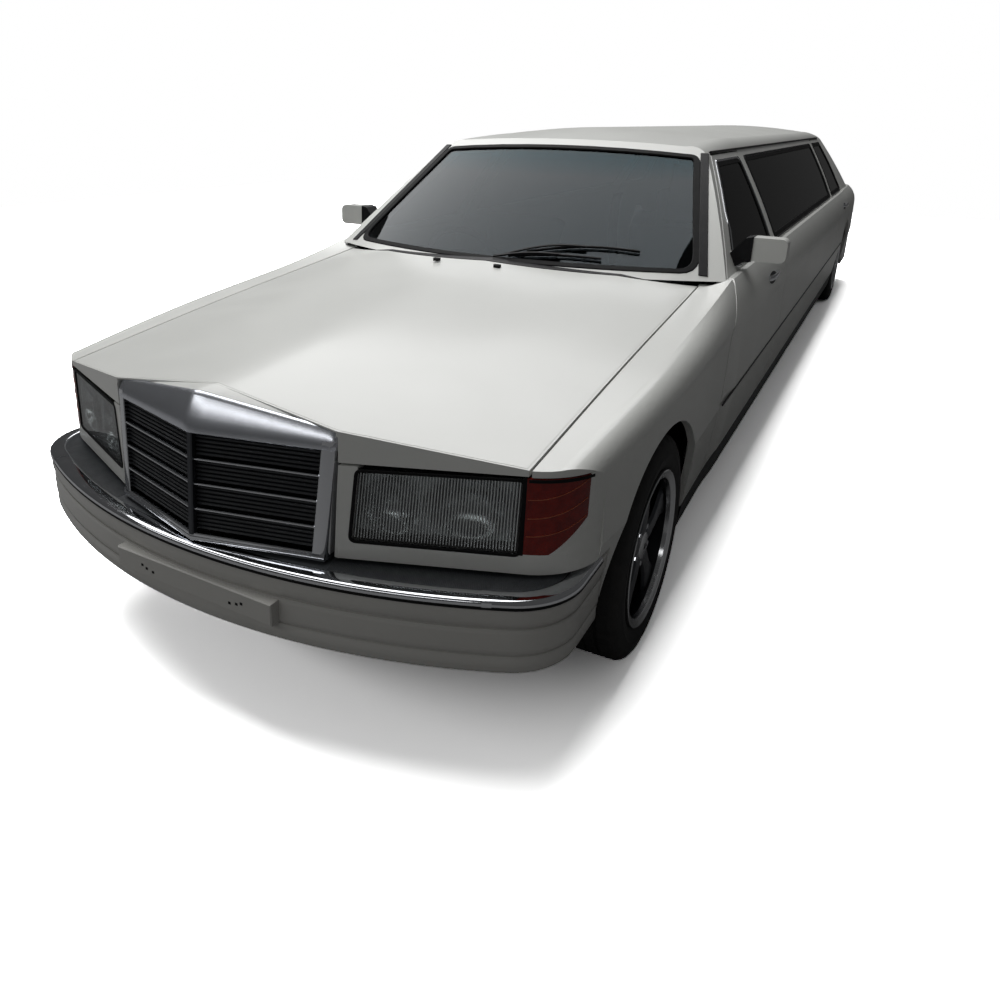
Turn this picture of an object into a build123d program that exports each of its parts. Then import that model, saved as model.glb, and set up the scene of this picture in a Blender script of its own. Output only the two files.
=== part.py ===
from build123d import *
import math
import os

# A stretched four-door limousine, right-hand drive.
# Frame: +Z up, the nose faces -Y, the car's left side is +X.
# Station s is the distance behind the nose's datum; the plate's plinth reaches NOSE_REACH ahead of it.

# Driving dimensions (mm)
STRETCH = 2850
WHEELBASE = 2935 + STRETCH
NOSE_REACH = 30
FRONT_OVERHANG = 868
REAR_OVERHANG = 1217
TAIL_END_S = FRONT_OVERHANG + WHEELBASE + REAR_OVERHANG
LENGTH = NOSE_REACH + TAIL_END_S
FRONT_AXLE_S = FRONT_OVERHANG
REAR_AXLE_S = FRONT_OVERHANG + WHEELBASE
FRONT_TRACK = 1555
REAR_TRACK = 1527

TYRE_RADIUS = 328
TYRE_WIDTH = 207
RIM_RADIUS = 216
AXLE_Z = TYRE_RADIUS
ARCH_RADIUS = 372
WHEELHOUSE_RADIUS = 400
SPOKES = 5

SILL_BOTTOM = 205
DOOR_BOTTOM = 300
CLAD_Z = 545
BELT_Z = 945
DOOR_TOP = 1342
ROOF_CUT_Z = 1348
RAIL_X = 606
RAIL_Z = 1338
ROOF_Z = 1440
BELT_X = 838

PANEL = 22
DOOR_SKIN = 20
DOOR_DEPTH = 75
DOOR_REBATE = 22
FRAME_DEPTH = 45
ROOF_DEPTH = 30
GAP = 6

MID_START = 1810
MID_END = 6060

HOOD_HALF = 744
LID_HALF = 640
LID_FRONT_S = 7195
TAIL_S = 7790

os.makedirs("parts", exist_ok=True)


# Placing helpers
def along(s):
    return s + NOSE_REACH - LENGTH / 2


def face_of(points, radius=0):
    if radius:
        return make_face(FilletPolyline(*points, radius=radius, close=True))
    return make_face(Polyline(*points, close=True))


def side_prism(outline, x0, x1, radius=0):
    """Prism across the car from a side outline of (s, z) points."""
    points = [(along(s), z) for s, z in outline]
    return extrude(Plane.YZ.offset(x0) * face_of(points, radius), amount=x1 - x0)


def front_prism(outline, s0, s1, radius=0):
    """Prism along the car from a front outline of (x, z) points."""
    return extrude(Plane.XZ.offset(-along(s0)) * face_of(outline, radius), amount=s0 - s1)


def block(x0, x1, s0, s1, z0, z1):
    centre = ((x0 + x1) / 2, along((s0 + s1) / 2), (z0 + z1) / 2)
    return Pos(*centre) * Box(abs(x1 - x0), abs(s1 - s0), abs(z1 - z0))


def rod_x(radius, x0, x1, s, z):
    """Cylinder across the car."""
    return Pos((x0 + x1) / 2, along(s), z) * Rot(0, 90, 0) * Cylinder(radius, abs(x1 - x0))


def rod_y(radius, s0, s1, x, z):
    """Cylinder along the car."""
    return Pos(x, along((s0 + s1) / 2), z) * Rot(90, 0, 0) * Cylinder(radius, abs(s1 - s0))


def rod_z(radius, z0, z1, x, s):
    return Pos(x, along(s), (z0 + z1) / 2) * Cylinder(radius, abs(z1 - z0))


def other_side(shape):
    return mirror(shape, about=Plane.YZ)


def both_sides(shape):
    return Part() + [shape, other_side(shape)]


def save(name, shape):
    export_step(shape, f"parts/{name}.step")


# Lower body sections, one row a station:
# s, cladding x, crease x z, shoulder x z, shoulder top x z, gap x z, hood crease x z, centre z
FRONT_ROWS = (
    (60, 846, 838, 690, 828, 718, 795, 732, 752, 738, 350, 818, 866),
    (400, 869, 863, 725, 853, 755, 806, 774, 752, 777, 372, 849, 890),
    (868, 905, 900, 760, 889, 800, 830, 828, 750, 832, 410, 888, 922),
    (1350, 908, 905, 778, 893, 840, 842, 878, 747, 880, 460, 926, 952),
    (MID_START, 908, 905, 782, 889, 868, 848, 945, 744, 926, 500, 957, 978),
)
TAIL_ROWS = (
    (MID_END, 908, 905, 782, 889, 868, 848, 945, 744, 960, 500, 970, 976),
    (6653, 908, 905, 782, 889, 868, 842, 945, 744, 962, 500, 975, 982),
    (7250, 902, 897, 778, 880, 862, 826, 938, 720, 958, 480, 972, 980),
    (TAIL_S, 876, 868, 765, 850, 842, 790, 908, 690, 928, 460, 940, 948),
)
SILL_X = 862


def body_section(row, side_inset, top_inset):
    """Closed section of the lower body; a negative top inset opens the top upwards."""
    s, clad_x, crease_x, crease_z, sh_x, sh_z, top_x, top_z, gap_x, gap_z, hc_x, hc_z, mid_z = row
    tuck = SILL_X - 908 + clad_x
    half = [
        (0, SILL_BOTTOM),
        (tuck - side_inset, SILL_BOTTOM),
        (clad_x - side_inset, CLAD_Z),
        (crease_x - side_inset, crease_z),
        (sh_x - side_inset, sh_z),
        (top_x - side_inset, top_z - max(top_inset, 0)),
        (gap_x - side_inset, gap_z - top_inset),
        (hc_x, hc_z - top_inset),
        (0, mid_z - top_inset),
    ]

    def side(sign):
        p = [(sign * x, z) for x, z in half]
        return [
            Line(p[0], p[1]),
            Line(p[1], p[2]),
            Line(p[2], p[3]),
            ThreePointArc(p[3], p[4], p[5]),
            Line(p[5], p[6]),
            Line(p[6], p[7]),
            Line(p[7], p[8]),
        ]

    return Plane.XZ.offset(-along(s)) * make_face(side(1) + side(-1)[::-1])


def lower_loft(rows, side_inset=0, top_inset=0):
    return loft([body_section(row, side_inset, top_inset) for row in rows])


def lower_mid(side_inset=0, top_inset=0):
    return extrude(body_section(FRONT_ROWS[-1], side_inset, top_inset), amount=MID_START - MID_END)


# Nose plan: where the grille and lamps face forward
NOSE_CENTRE_S = 80
NOSE_GRILLE = (351, 100)
NOSE_CORNER = (745, 262)
NOSE_SIDE = (866, 420)


def nose_prism(depth):
    """Everything behind the nose's plan line, moved back by depth."""
    run = (NOSE_CORNER[0] - NOSE_GRILLE[0], NOSE_CORNER[1] - NOSE_GRILLE[1])

    def half(sign):
        a = (0, along(NOSE_CENTRE_S + depth))
        b = (sign * NOSE_GRILLE[0], along(NOSE_GRILLE[1] + depth))
        c = (sign * (NOSE_CORNER[0] - 0.3 * depth), along(NOSE_CORNER[1] + depth))
        d = (sign * (NOSE_SIDE[0] - depth), along(NOSE_SIDE[1]))
        e = (sign * 1000, along(NOSE_SIDE[1]))
        f = (sign * 1000, along(MID_START))
        arc = TangentArc(c, d, tangent=(sign * run[0], run[1]))
        return [Line(a, b), Line(b, c), arc, Line(d, e), Line(e, f)]

    back = Line((1000, along(MID_START)), (-1000, along(MID_START)))
    outline = half(1) + [back] + half(-1)[::-1]
    return extrude(Plane.XY.offset(100) * make_face(outline), amount=1000)


def nose_solid(depth):
    return lower_loft(FRONT_ROWS, depth, depth) & nose_prism(depth)


# Greenhouse sections, one row a station: s, centre z
GLASSHOUSE_FRONT = ((1450, 1330), (2200, 1385), (2700, 1430), (3050, ROOF_Z))
GLASSHOUSE_REAR = ((5950, ROOF_Z), (6250, 1432), (6620, 1392), (7300, 1330))
SIDE_BULGE = 10


def glasshouse_section(s, centre_z, side_inset, top_inset):
    belt = (BELT_X - side_inset, BELT_Z - 25)
    rail = (RAIL_X - side_inset, RAIL_Z)
    bulge = ((belt[0] + rail[0]) / 2 + SIDE_BULGE, (belt[1] + rail[1]) / 2)
    turn = (rail[0] - 0.16 * RAIL_X, RAIL_Z + 0.62 * (centre_z - RAIL_Z) - top_inset)
    knee = (rail[0] - 0.04 * RAIL_X, RAIL_Z + 0.36 * (centre_z - RAIL_Z) - 0.7 * top_inset)
    crown = (0, centre_z - top_inset)

    def side(sign):
        def m(p):
            return (sign * p[0], p[1])

        return [
            Line((0, belt[1]), m(belt)),
            ThreePointArc(m(belt), m(bulge), m(rail)),
            ThreePointArc(m(rail), m(knee), m(turn)),
        ]

    top = ThreePointArc((turn[0], turn[1]), crown, (-turn[0], turn[1]))
    return Plane.XZ.offset(-along(s)) * make_face(side(1) + [top] + side(-1)[::-1])


def glasshouse(side_inset=0, top_inset=0):
    def station(row):
        return glasshouse_section(row[0], row[1], side_inset, top_inset)

    front = loft([station(row) for row in GLASSHOUSE_FRONT])
    rear = loft([station(row) for row in GLASSHOUSE_REAR])
    mid_length = GLASSHOUSE_REAR[0][0] - GLASSHOUSE_FRONT[-1][0]
    middle = extrude(station(GLASSHOUSE_FRONT[-1]), amount=-mid_length)
    return front + middle + rear


# Windshield and rear window: a plan arc swept up a slope
WS_BASE_Z = 950
WS_CENTRE_S = 1590
WS_CORNER = (735, 1770)
WS_SLOPE = (0, 670, 425)
BL_BASE_Z = 985
BL_CENTRE_S = 7130
BL_CORNER = (640, 7040)
BL_SLOPE = (0, -570, 415)
SCREEN_LOW = 880
SCREEN_HIGH = 1520


def screen_region(centre_s, corner, base_z, slope, depth, away):
    """Everything behind the sloped screen surface, depth further in along the car."""
    low_shift = (SCREEN_LOW - base_z) * slope[1] / slope[2]
    move = low_shift + depth
    sag = (corner[1] - centre_s) * (1000 / corner[0]) ** 2
    left = (-1000, along(centre_s + sag + move))
    mid = (0, along(centre_s + move))
    right = (1000, along(centre_s + sag + move))
    far = along(centre_s + sag + move + away)
    outline = [
        ThreePointArc(left, mid, right),
        Line(right, (1000, far)),
        Line((1000, far), (-1000, far)),
        Line((-1000, far), left),
    ]
    height = SCREEN_HIGH - SCREEN_LOW
    length = height * math.hypot(slope[1], slope[2]) / slope[2]
    return extrude(Plane.XY.offset(SCREEN_LOW) * make_face(outline), amount=length, dir=slope)


def windshield_region(depth):
    return screen_region(WS_CENTRE_S, WS_CORNER, WS_BASE_Z, WS_SLOPE, depth, 5500)


def rear_window_region(depth):
    return screen_region(BL_CENTRE_S, BL_CORNER, BL_BASE_Z, BL_SLOPE, -depth, -5500)


# Front-view outlines: half width and z at the foot, half width and z at the top corner, z at the top centre
WINDSHIELD_OUTLINE = (728, 962, 568, 1336, 1361)
REAR_WINDOW_OUTLINE = (625, 1000, 535, 1328, 1354)
SCREEN_CORNER = 38


def screen_prism(outline, s0, s1):
    foot_x, foot_z, top_x, top_z, crown_z = outline
    edges = [
        Line((-foot_x, foot_z), (foot_x, foot_z)),
        Line((foot_x, foot_z), (top_x, top_z)),
        ThreePointArc((top_x, top_z), (0, crown_z), (-top_x, top_z)),
        Line((-top_x, top_z), (-foot_x, foot_z)),
    ]
    face = make_face(edges)
    face = fillet(face.vertices(), SCREEN_CORNER)
    return extrude(Plane.XZ.offset(-along(s0)) * face, amount=s0 - s1)


# Side outlines, (s, z)
FRONT_DOOR = ((1570, DOOR_BOTTOM), (1575, 560), (1628, 781), (1810, 928),
              (2395, DOOR_TOP), (2950, DOOR_TOP), (2866, BELT_Z), (2842, DOOR_BOTTOM))
FRONT_DOOR_WINDOW = ((1985, 968), (2440, 1306), (2908, 1306), (2836, 968))
STRETCH_SIDE = ((2848, DOOR_BOTTOM), (2872, BELT_Z), (2960, ROOF_CUT_Z),
                (5797, ROOF_CUT_Z), (5713, BELT_Z), (5690, DOOR_BOTTOM))
STRETCH_WINDOW = ((2985, 968), (3058, 1306), (5674, 1306), (5602, 968))
REAR_DOOR = ((5696, DOOR_BOTTOM), (5719, BELT_Z), (5807, DOOR_TOP), (6330, DOOR_TOP),
             (6500, 970), (6500, 850), (6425, 690), (6300, 560), (6258, 420), (6258, DOOR_BOTTOM))
REAR_DOOR_WINDOW = ((5766, 968), (5838, 1306), (6290, 1306), (6430, 968))


def shifted(outline, grow):
    """The outline pushed out by grow, with mitred corners."""
    count = len(outline)
    area = sum(outline[i][0] * outline[(i + 1) % count][1] - outline[(i + 1) % count][0] * outline[i][1]
               for i in range(count))
    turn = 1 if area > 0 else -1
    result = []
    for i, point in enumerate(outline):
        normals = []
        for a, b in ((outline[i - 1], point), (point, outline[(i + 1) % count])):
            length = math.dist(a, b)
            normals.append((turn * (b[1] - a[1]) / length, turn * (a[0] - b[0]) / length))
        scale = grow / (1 + normals[0][0] * normals[1][0] + normals[0][1] * normals[1][1])
        result.append((point[0] + scale * (normals[0][0] + normals[1][0]),
                       point[1] + scale * (normals[0][1] + normals[1][1])))
    return tuple(result)


# Shared body solids
front_outer = lower_loft(FRONT_ROWS)
front_nose = front_outer & nose_prism(0)
front_inner = lower_loft(FRONT_ROWS, PANEL, PANEL) & nose_prism(PANEL)
front_door_inner = lower_loft(FRONT_ROWS, DOOR_DEPTH, -120)
front_skin_inner = lower_loft(FRONT_ROWS, DOOR_SKIN, -120)
mid_outer = lower_mid()
mid_inner = lower_mid(DOOR_DEPTH, -120)
mid_skin_inner = lower_mid(DOOR_SKIN, -120)
tail_outer = lower_loft(TAIL_ROWS)
tail_inner = lower_loft(TAIL_ROWS, PANEL, PANEL)
tail_door_inner = lower_loft(TAIL_ROWS, DOOR_DEPTH, -120)
tail_skin_inner = lower_loft(TAIL_ROWS, DOOR_SKIN, -120)

house_full = glasshouse()
house_outer = house_full & windshield_region(0) & rear_window_region(0)
house_inner = glasshouse(FRAME_DEPTH, ROOF_DEPTH) & windshield_region(55) & rear_window_region(55)
house_skin_inner = glasshouse(DOOR_SKIN, ROOF_DEPTH)

front_arch = rod_x(ARCH_RADIUS, -1000, 1000, FRONT_AXLE_S, AXLE_Z)
rear_arch = rod_x(ARCH_RADIUS, -1000, 1000, REAR_AXLE_S, AXLE_Z)


def half_of(shape):
    """The car's left half."""
    return shape & block(0, 1100, -100, LENGTH + 100, 0, 1600)


# Nose
LAMP_OUTLINE = ((380, 558), (731, 558), (735, 742), (396, 736))
LAMP_INNER = ((392, 570), (719, 570), (723, 730), (406, 725))
LAMP_GLASS = 10
LAMP_DEPTH = 90
GRILLE_TOP = ((-351, 818), (0, 866), (351, 818))
GRILLE_BOTTOM_X = 334
GRILLE_BOTTOM_Z = 505
GRILLE_LEAN = 0.07
CROWN_LEAN = 0.5
CROWN_Z = 786
PROW_CENTRE_S = -16
PROW_SIDE_S = 72
PROW_LOW = 400
PROW_HIGH = 960
PROW_HALF = 420
PROW_BACK_S = 900


def leaning_region(centre_s, level, lean, depth):
    """Everything behind a V-shaped face that leans back and whose point is at centre_s on a level."""
    base_s = centre_s + (PROW_LOW - level) * lean + depth
    edge_s = base_s + (PROW_SIDE_S - PROW_CENTRE_S) / GRILLE_BOTTOM_X * PROW_HALF
    outline = ((0, base_s), (PROW_HALF, edge_s), (PROW_HALF, PROW_BACK_S), (-PROW_HALF, PROW_BACK_S),
               (-PROW_HALF, edge_s))
    points = [(x, along(s)) for x, s in outline]
    length = (PROW_HIGH - PROW_LOW) * math.hypot(1, lean)
    return extrude(Plane.XY.offset(PROW_LOW) * face_of(points), amount=length, dir=(0, lean, 1))


def prow_region(depth):
    """Everything behind the grille's face and the crown above it, which leans back further."""
    crown_s = PROW_CENTRE_S + (CROWN_Z - GRILLE_BOTTOM_Z) * GRILLE_LEAN
    face = leaning_region(PROW_CENTRE_S, GRILLE_BOTTOM_Z, GRILLE_LEAN, depth)
    return face & leaning_region(crown_s, CROWN_Z, CROWN_LEAN, depth)


def prow_layer(front, back):
    return prow_region(front) - prow_region(back)


grille_outline = ((-GRILLE_BOTTOM_X, GRILLE_BOTTOM_Z), (GRILLE_BOTTOM_X, GRILLE_BOTTOM_Z)) + GRILLE_TOP[::-1]
grille_opening = ((-312, 524), (312, 524), (328, 774), (-328, 774))
BAR_LEVELS = (586, 649, 711)
SLATS_PER_BAND = 5
SLAT_HEIGHT = 3
BAR_DEPTH = 12
SLAT_BACK = 30
GRILLE_DEPTH = 62

grille_frame = prow_layer(0, GRILLE_DEPTH) & front_prism(grille_outline, -100, 300)
grille_frame -= front_prism(grille_opening, -100, 300)
bars = prow_layer(2, BAR_DEPTH) & block(-11, 11, -100, 300, 515, 783)
for level in BAR_LEVELS:
    bars += prow_layer(4, BAR_DEPTH) & block(-340, 340, -100, 300, level - 5, level + 5)
opening_prism = front_prism(grille_opening, -100, 300)
grille_frame += bars & front_prism(shifted(grille_opening, 2), -100, 300)
save("grille_shell", grille_frame)

slat_layer = prow_layer(BAR_DEPTH + 0.3, SLAT_BACK) & opening_prism
slats = []
band_edges = (524,) + BAR_LEVELS + (774,)
for low, high in zip(band_edges, band_edges[1:]):
    step = (high - low) / (SLATS_PER_BAND + 1)
    for i in range(SLATS_PER_BAND):
        z = low + step * (i + 1)
        slats.append(slat_layer & block(-345, 345, -100, 300, z - SLAT_HEIGHT / 2, z + SLAT_HEIGHT / 2))
save("grille_slats", Part() + slats)

lamp_cut = front_prism(LAMP_OUTLINE, 0, 500, 8)
lens_band = front_nose - nose_solid(LAMP_GLASS)
lens = lens_band & lamp_cut
save("headlamp_lenses", both_sides(lens))

housing = (nose_solid(LAMP_GLASS) & lamp_cut) - nose_prism(LAMP_DEPTH)
housing -= front_prism(LAMP_INNER, 0, 500, 8) - nose_prism(LAMP_DEPTH - 8)
save("headlamp_housings", both_sides(housing))

FENDER_LOW_S = 406
FENDER_HIGH_S = 376
FENDER_SIDE = ((FENDER_LOW_S, DOOR_BOTTOM), (FENDER_LOW_S, 558), (FENDER_HIGH_S, 744), (FENDER_HIGH_S, 900),
               (1500, 1100), (1804, 1100), (1804, 931), (1622, 785), (1569, 561), (1564, DOOR_BOTTOM))
fender_prism = side_prism(FENDER_SIDE, 0, 1000)
indicator = (lens_band & block(740, 1000, 150, 500, 558, 742)) - fender_prism
save("indicator_lenses", both_sides(indicator))

nose_band = front_nose - nose_solid(25)
nose_low = nose_band & front_prism(((342, 508), (1000, 508), (1000, 558), (345, 558)), 0, FENDER_LOW_S)
nose_post = nose_band & front_prism(((345, 558), (380, 558), (396, 736), (396, 741), (355, 741)), 0, 500)
save("nose_panel", both_sides(nose_low + nose_post))

# Hood: skin between the fenders, from the nose line back to the cowl
HOOD_REAR_CENTRE = 1545
HOOD_REAR_CORNER = 1742
HOOD_DEPTH = 14
HOOD_REAR_GAP = 10
HOOD_LIP_Z = 747
HOOD_NOTCH = 355
LAMP_BACK_S = 300


def hood_plan(grow, back):
    x = HOOD_HALF + grow
    return [
        Line((-x, along(0)), (x, along(0))),
        Line((x, along(0)), (x, along(HOOD_REAR_CORNER + back))),
        ThreePointArc((x, along(HOOD_REAR_CORNER + back)), (0, along(HOOD_REAR_CENTRE + back)),
                      (-x, along(HOOD_REAR_CORNER + back))),
        Line((-x, along(HOOD_REAR_CORNER + back)), (-x, along(0))),
    ]


hood_column = extrude(Plane.XY.offset(600) * make_face(hood_plan(0, 0)), amount=500)
hood_zone = extrude(Plane.XY.offset(600) * make_face(hood_plan(GAP, HOOD_REAR_GAP)), amount=500)
hood = (front_nose - lower_loft(FRONT_ROWS, -40, HOOD_DEPTH)) & hood_column
hood_lip = (front_nose - nose_prism(HOOD_DEPTH)) & hood_column
hood_lip -= block(-HOOD_NOTCH, HOOD_NOTCH, 0, LAMP_BACK_S, 600, 900)
hood = (hood + hood_lip) & block(-800, 800, 0, 2000, HOOD_LIP_Z, 1200)
hood -= prow_layer(-200, GRILLE_DEPTH) & front_prism(grille_outline, -200, 300)
hood -= block(-HOOD_NOTCH, HOOD_NOTCH, 0, NOSE_GRILLE[1] + 1, 600, 900)
save("hood", hood)

# Fenders
BUMPER_END_S = 486
fender_tip = front_nose - nose_solid(PANEL)
fender = (front_nose - front_inner) & fender_prism
fender += fender_tip & block(HOOD_HALF + GAP, 1000, 150, FENDER_HIGH_S + 4, 745, 900)
fender -= hood_zone
fender -= front_arch
fender -= block(0, 745, 0, 2000, 0, 1200)
fender -= house_outer
bumper_back = block(0, 1000, 0, BUMPER_END_S + 4, 0, 508)
fender -= bumper_back
save("front_fenders", both_sides(fender))

# Cowl between hood and windshield
COWL_HALF = 720
cowl = front_outer - lower_loft(FRONT_ROWS, -40, 45)
cowl &= block(-COWL_HALF, COWL_HALF, 1400, MID_START, 800, 1100)
cowl -= hood_zone
cowl -= windshield_region(0)
save("cowl", cowl)

# Doors
# What is inside the body side: front, middle, tail and glasshouse
FULL_DEPTH = (front_door_inner, mid_inner, tail_door_inner, house_inner)
SKIN_ONLY = (front_skin_inner, mid_skin_inner, tail_skin_inner, house_skin_inner)


def side_wall(prism, inside):
    """The body side within a side prism."""
    front_void, mid_void, tail_void, house_void = inside
    wall = (prism & mid_outer) - mid_void
    box = prism.bounding_box()
    if box.min.Y < along(MID_START):
        wall += (prism & front_outer) - front_void
    if box.max.Y > along(MID_END):
        wall += (prism & tail_outer) - tail_void
    wall -= block(0, 1000, 0, LENGTH, BELT_Z - 2, 1600)
    wall += (prism & house_outer) - house_void
    return wall


def door(outline, window):
    skin = side_wall(side_prism(outline, 400, 1000), SKIN_ONLY)
    depth = side_wall(side_prism(shifted(outline, -DOOR_REBATE), 400, 1000), FULL_DEPTH)
    panel = skin + depth
    panel -= side_prism(window, 400, 1000, 25)
    return panel


def pane(window):
    layer = (glasshouse(3, 3) - glasshouse(9, 9)) & house_outer
    return half_of(layer) & side_prism(window, 400, 1000, 25)


DOORS = (("front", FRONT_DOOR, FRONT_DOOR_WINDOW), ("rear", REAR_DOOR, REAR_DOOR_WINDOW))
for name, outline, window in DOORS:
    left = door(outline, window)
    glass = pane(window)
    save(f"door_{name}_left", left)
    save(f"door_{name}_right", other_side(left))
    save(f"door_glass_{name}_left", glass)
    save(f"door_glass_{name}_right", other_side(glass))

stretch_wall = side_wall(side_prism(STRETCH_SIDE, 400, 1000), FULL_DEPTH)
stretch_wall -= side_prism(STRETCH_WINDOW, 400, 1000, 25)
save("stretch_panels", both_sides(stretch_wall))
save("stretch_windows", both_sides(pane(STRETCH_WINDOW)))

# Hinge posts behind the leading edge of each door, the front ones with the hood's hinge arm
SEAT_GAP = 0.3
POST = 40
front_post = lower_loft(FRONT_ROWS, DOOR_DEPTH + SEAT_GAP, -120)
front_post -= lower_loft(FRONT_ROWS, DOOR_DEPTH + POST, -160)
front_post &= block(0, 1000, 1515, 1640, DOOR_BOTTOM, 850)
front_post += block(688, 795, 1515, 1535, DOOR_BOTTOM, 830)
hood_arm = lower_loft(FRONT_ROWS, -40, HOOD_DEPTH + SEAT_GAP) & block(722, 738, 1515, 1730, 810, 1000)
front_post += hood_arm
rear_post = lower_mid(DOOR_DEPTH + SEAT_GAP, -120) - lower_mid(DOOR_DEPTH + POST, -160)
rear_post &= block(0, 1000, 5640, 5770, DOOR_BOTTOM - GAP, 880)
save("hinge_posts", both_sides(front_post) + both_sides(rear_post))

# Roof and pillars
screen_hole = screen_prism(WINDSHIELD_OUTLINE, 1400, 2600) - windshield_region(58)
rear_hole = screen_prism(REAR_WINDOW_OUTLINE, 6300, 7300) - rear_window_region(58)
A_PILLAR_SIDE = ((1560, 936), (1812, 936), (2390, ROOF_CUT_Z), (1560, ROOF_CUT_Z))
C_PILLAR_SIDE = ((6337, ROOF_CUT_Z), (6507, 972), (6507, 930), (7300, 930), (7300, ROOF_CUT_Z))


def house_wall(prism):
    return (house_outer & prism) - house_inner - screen_hole - rear_hole


save("roof", house_wall(block(-900, 900, 1400, 7400, ROOF_CUT_Z, 1600)))
save("windshield_frame", house_wall(side_prism(A_PILLAR_SIDE, -1000, 1000)))
save("rear_pillars", house_wall(side_prism(C_PILLAR_SIDE, -1000, 1000)))

windshield = (windshield_region(3) - windshield_region(14)) & screen_prism(WINDSHIELD_OUTLINE, 1400, 2600)
save("windshield", windshield)
rear_window = (rear_window_region(3) - rear_window_region(14)) & screen_prism(REAR_WINDOW_OUTLINE, 6300, 7300)
save("rear_window", rear_window)

# Rear quarters and tail
REAR_BUMPER_TOP = 545
QUARTER_SIDE = ((6506, 1000), (6506, 848), (6431, 687), (6306, 557), (6264, 418), (6264, DOOR_BOTTOM),
                (TAIL_S, DOOR_BOTTOM), (TAIL_S, 1000))
TAIL_LAMP_S = 7560
TAIL_LAMP_LOW = 600
TAIL_LAMP_HIGH = 775
TAIL_LAMP_X = 430

quarter = (tail_outer - tail_inner) & side_prism(QUARTER_SIDE, 0, 1000)
quarter -= rear_arch
quarter -= block(0, LID_HALF + GAP, LID_FRONT_S - GAP, LENGTH, 800, 1200)
quarter -= block(0, 600, 6000, LENGTH, 0, 900)
quarter -= block(0, 1000, TAIL_LAMP_S, LENGTH, TAIL_LAMP_LOW, TAIL_LAMP_HIGH)
quarter -= block(0, 1000, 7300, LENGTH, 0, REAR_BUMPER_TOP)
quarter -= house_outer
save("quarter_panels", both_sides(quarter))

rear_face = block(-1000, 1000, TAIL_S - PANEL, TAIL_S, REAR_BUMPER_TOP, 1200)
lamp_region = block(TAIL_LAMP_X, 1000, TAIL_LAMP_S, LENGTH, TAIL_LAMP_LOW, TAIL_LAMP_HIGH)
tail_lamp = ((tail_outer - lower_loft(TAIL_ROWS, 30, 0)) + (tail_outer & rear_face)) & lamp_region
save("tail_lamps", both_sides(tail_lamp))

tail_panel = lower_loft(TAIL_ROWS, PANEL, 0) & rear_face
tail_panel -= block(-1000, 1000, TAIL_S - 100, LENGTH, 690, 1200)
tail_panel -= block(TAIL_LAMP_X - 1, 1000, TAIL_LAMP_S, LENGTH, TAIL_LAMP_LOW - 1, TAIL_LAMP_HIGH + 1)
tail_panel -= block(-1000, -TAIL_LAMP_X + 1, TAIL_LAMP_S, LENGTH, TAIL_LAMP_LOW - 1, TAIL_LAMP_HIGH + 1)
save("tail_panel", tail_panel)

lid_top = tail_outer - lower_loft(TAIL_ROWS, -40, HOOD_DEPTH)
lid_top &= block(-LID_HALF, LID_HALF, LID_FRONT_S, LENGTH, 850, 1200)
lid_back = tail_outer & rear_face
lid_back &= block(-LID_HALF, LID_HALF, 7000, LENGTH, TAIL_LAMP_HIGH + 5, 1200)
lid_drop = tail_outer & rear_face
lid_drop &= block(-TAIL_LAMP_X + GAP, TAIL_LAMP_X - GAP, 7000, LENGTH, 696, TAIL_LAMP_HIGH + 20)
save("trunk_lid", lid_top + lid_back + lid_drop)

save("rear_deck", block(-600, 600, 6700, 7100, 880, 902))

# Sills
sill = mid_outer & block(690, 1000, MID_START, MID_END, 0, DOOR_BOTTOM - GAP)
sill += front_outer & block(690, 1000, 1270, MID_START, 0, DOOR_BOTTOM - GAP)
sill += tail_outer & block(690, 1000, MID_END, 6262, 0, DOOR_BOTTOM - GAP)
sill -= front_arch
save("sills", both_sides(sill))

# Bumpers: the front one's plan is a wide bow with a tight corner into straight sides
BUMPER_FACE_S = -24
BUMPER_BOW = 184
BUMPER_BOW_X = 760
BUMPER_SIDE_X = 864
BUMPER_WALL = 60
BUMPER_TOP = 480


def bumper_plan(depth):
    """Closed plan of the front bumper, its outer line moved in by depth."""
    turn = 2 * math.atan(BUMPER_BOW / BUMPER_BOW_X)
    corner_s = BUMPER_FACE_S + BUMPER_BOW
    corner_s += (BUMPER_SIDE_X - BUMPER_BOW_X) * math.tan((turn + math.pi / 2) / 2)
    bow_x = BUMPER_BOW_X - depth * math.sin(turn)
    bow_s = BUMPER_FACE_S + BUMPER_BOW + depth * math.cos(turn)
    side_x = BUMPER_SIDE_X - depth
    front = ThreePointArc((-bow_x, along(bow_s)), (0, along(BUMPER_FACE_S + depth)), (bow_x, along(bow_s)))

    def half(sign):
        bow_end = (sign * bow_x, along(bow_s))
        corner_end = (sign * side_x, along(corner_s))
        side_end = (sign * side_x, along(BUMPER_END_S))
        corner = TangentArc(bow_end, corner_end, tangent=(sign * math.cos(turn), math.sin(turn)))
        return [corner, Line(corner_end, side_end)]

    back = Line((side_x, along(BUMPER_END_S)), (-side_x, along(BUMPER_END_S)))
    return make_face([front] + half(1) + [back] + half(-1)[::-1])


def bumper_layer(depth, z0, z1, wall):
    solid = extrude(Plane.XY.offset(z0) * bumper_plan(depth), amount=z1 - z0)
    hollow = extrude(Plane.XY.offset(z0 - 1) * bumper_plan(depth + wall), amount=z1 - z0 + 2)
    return solid - hollow


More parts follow.
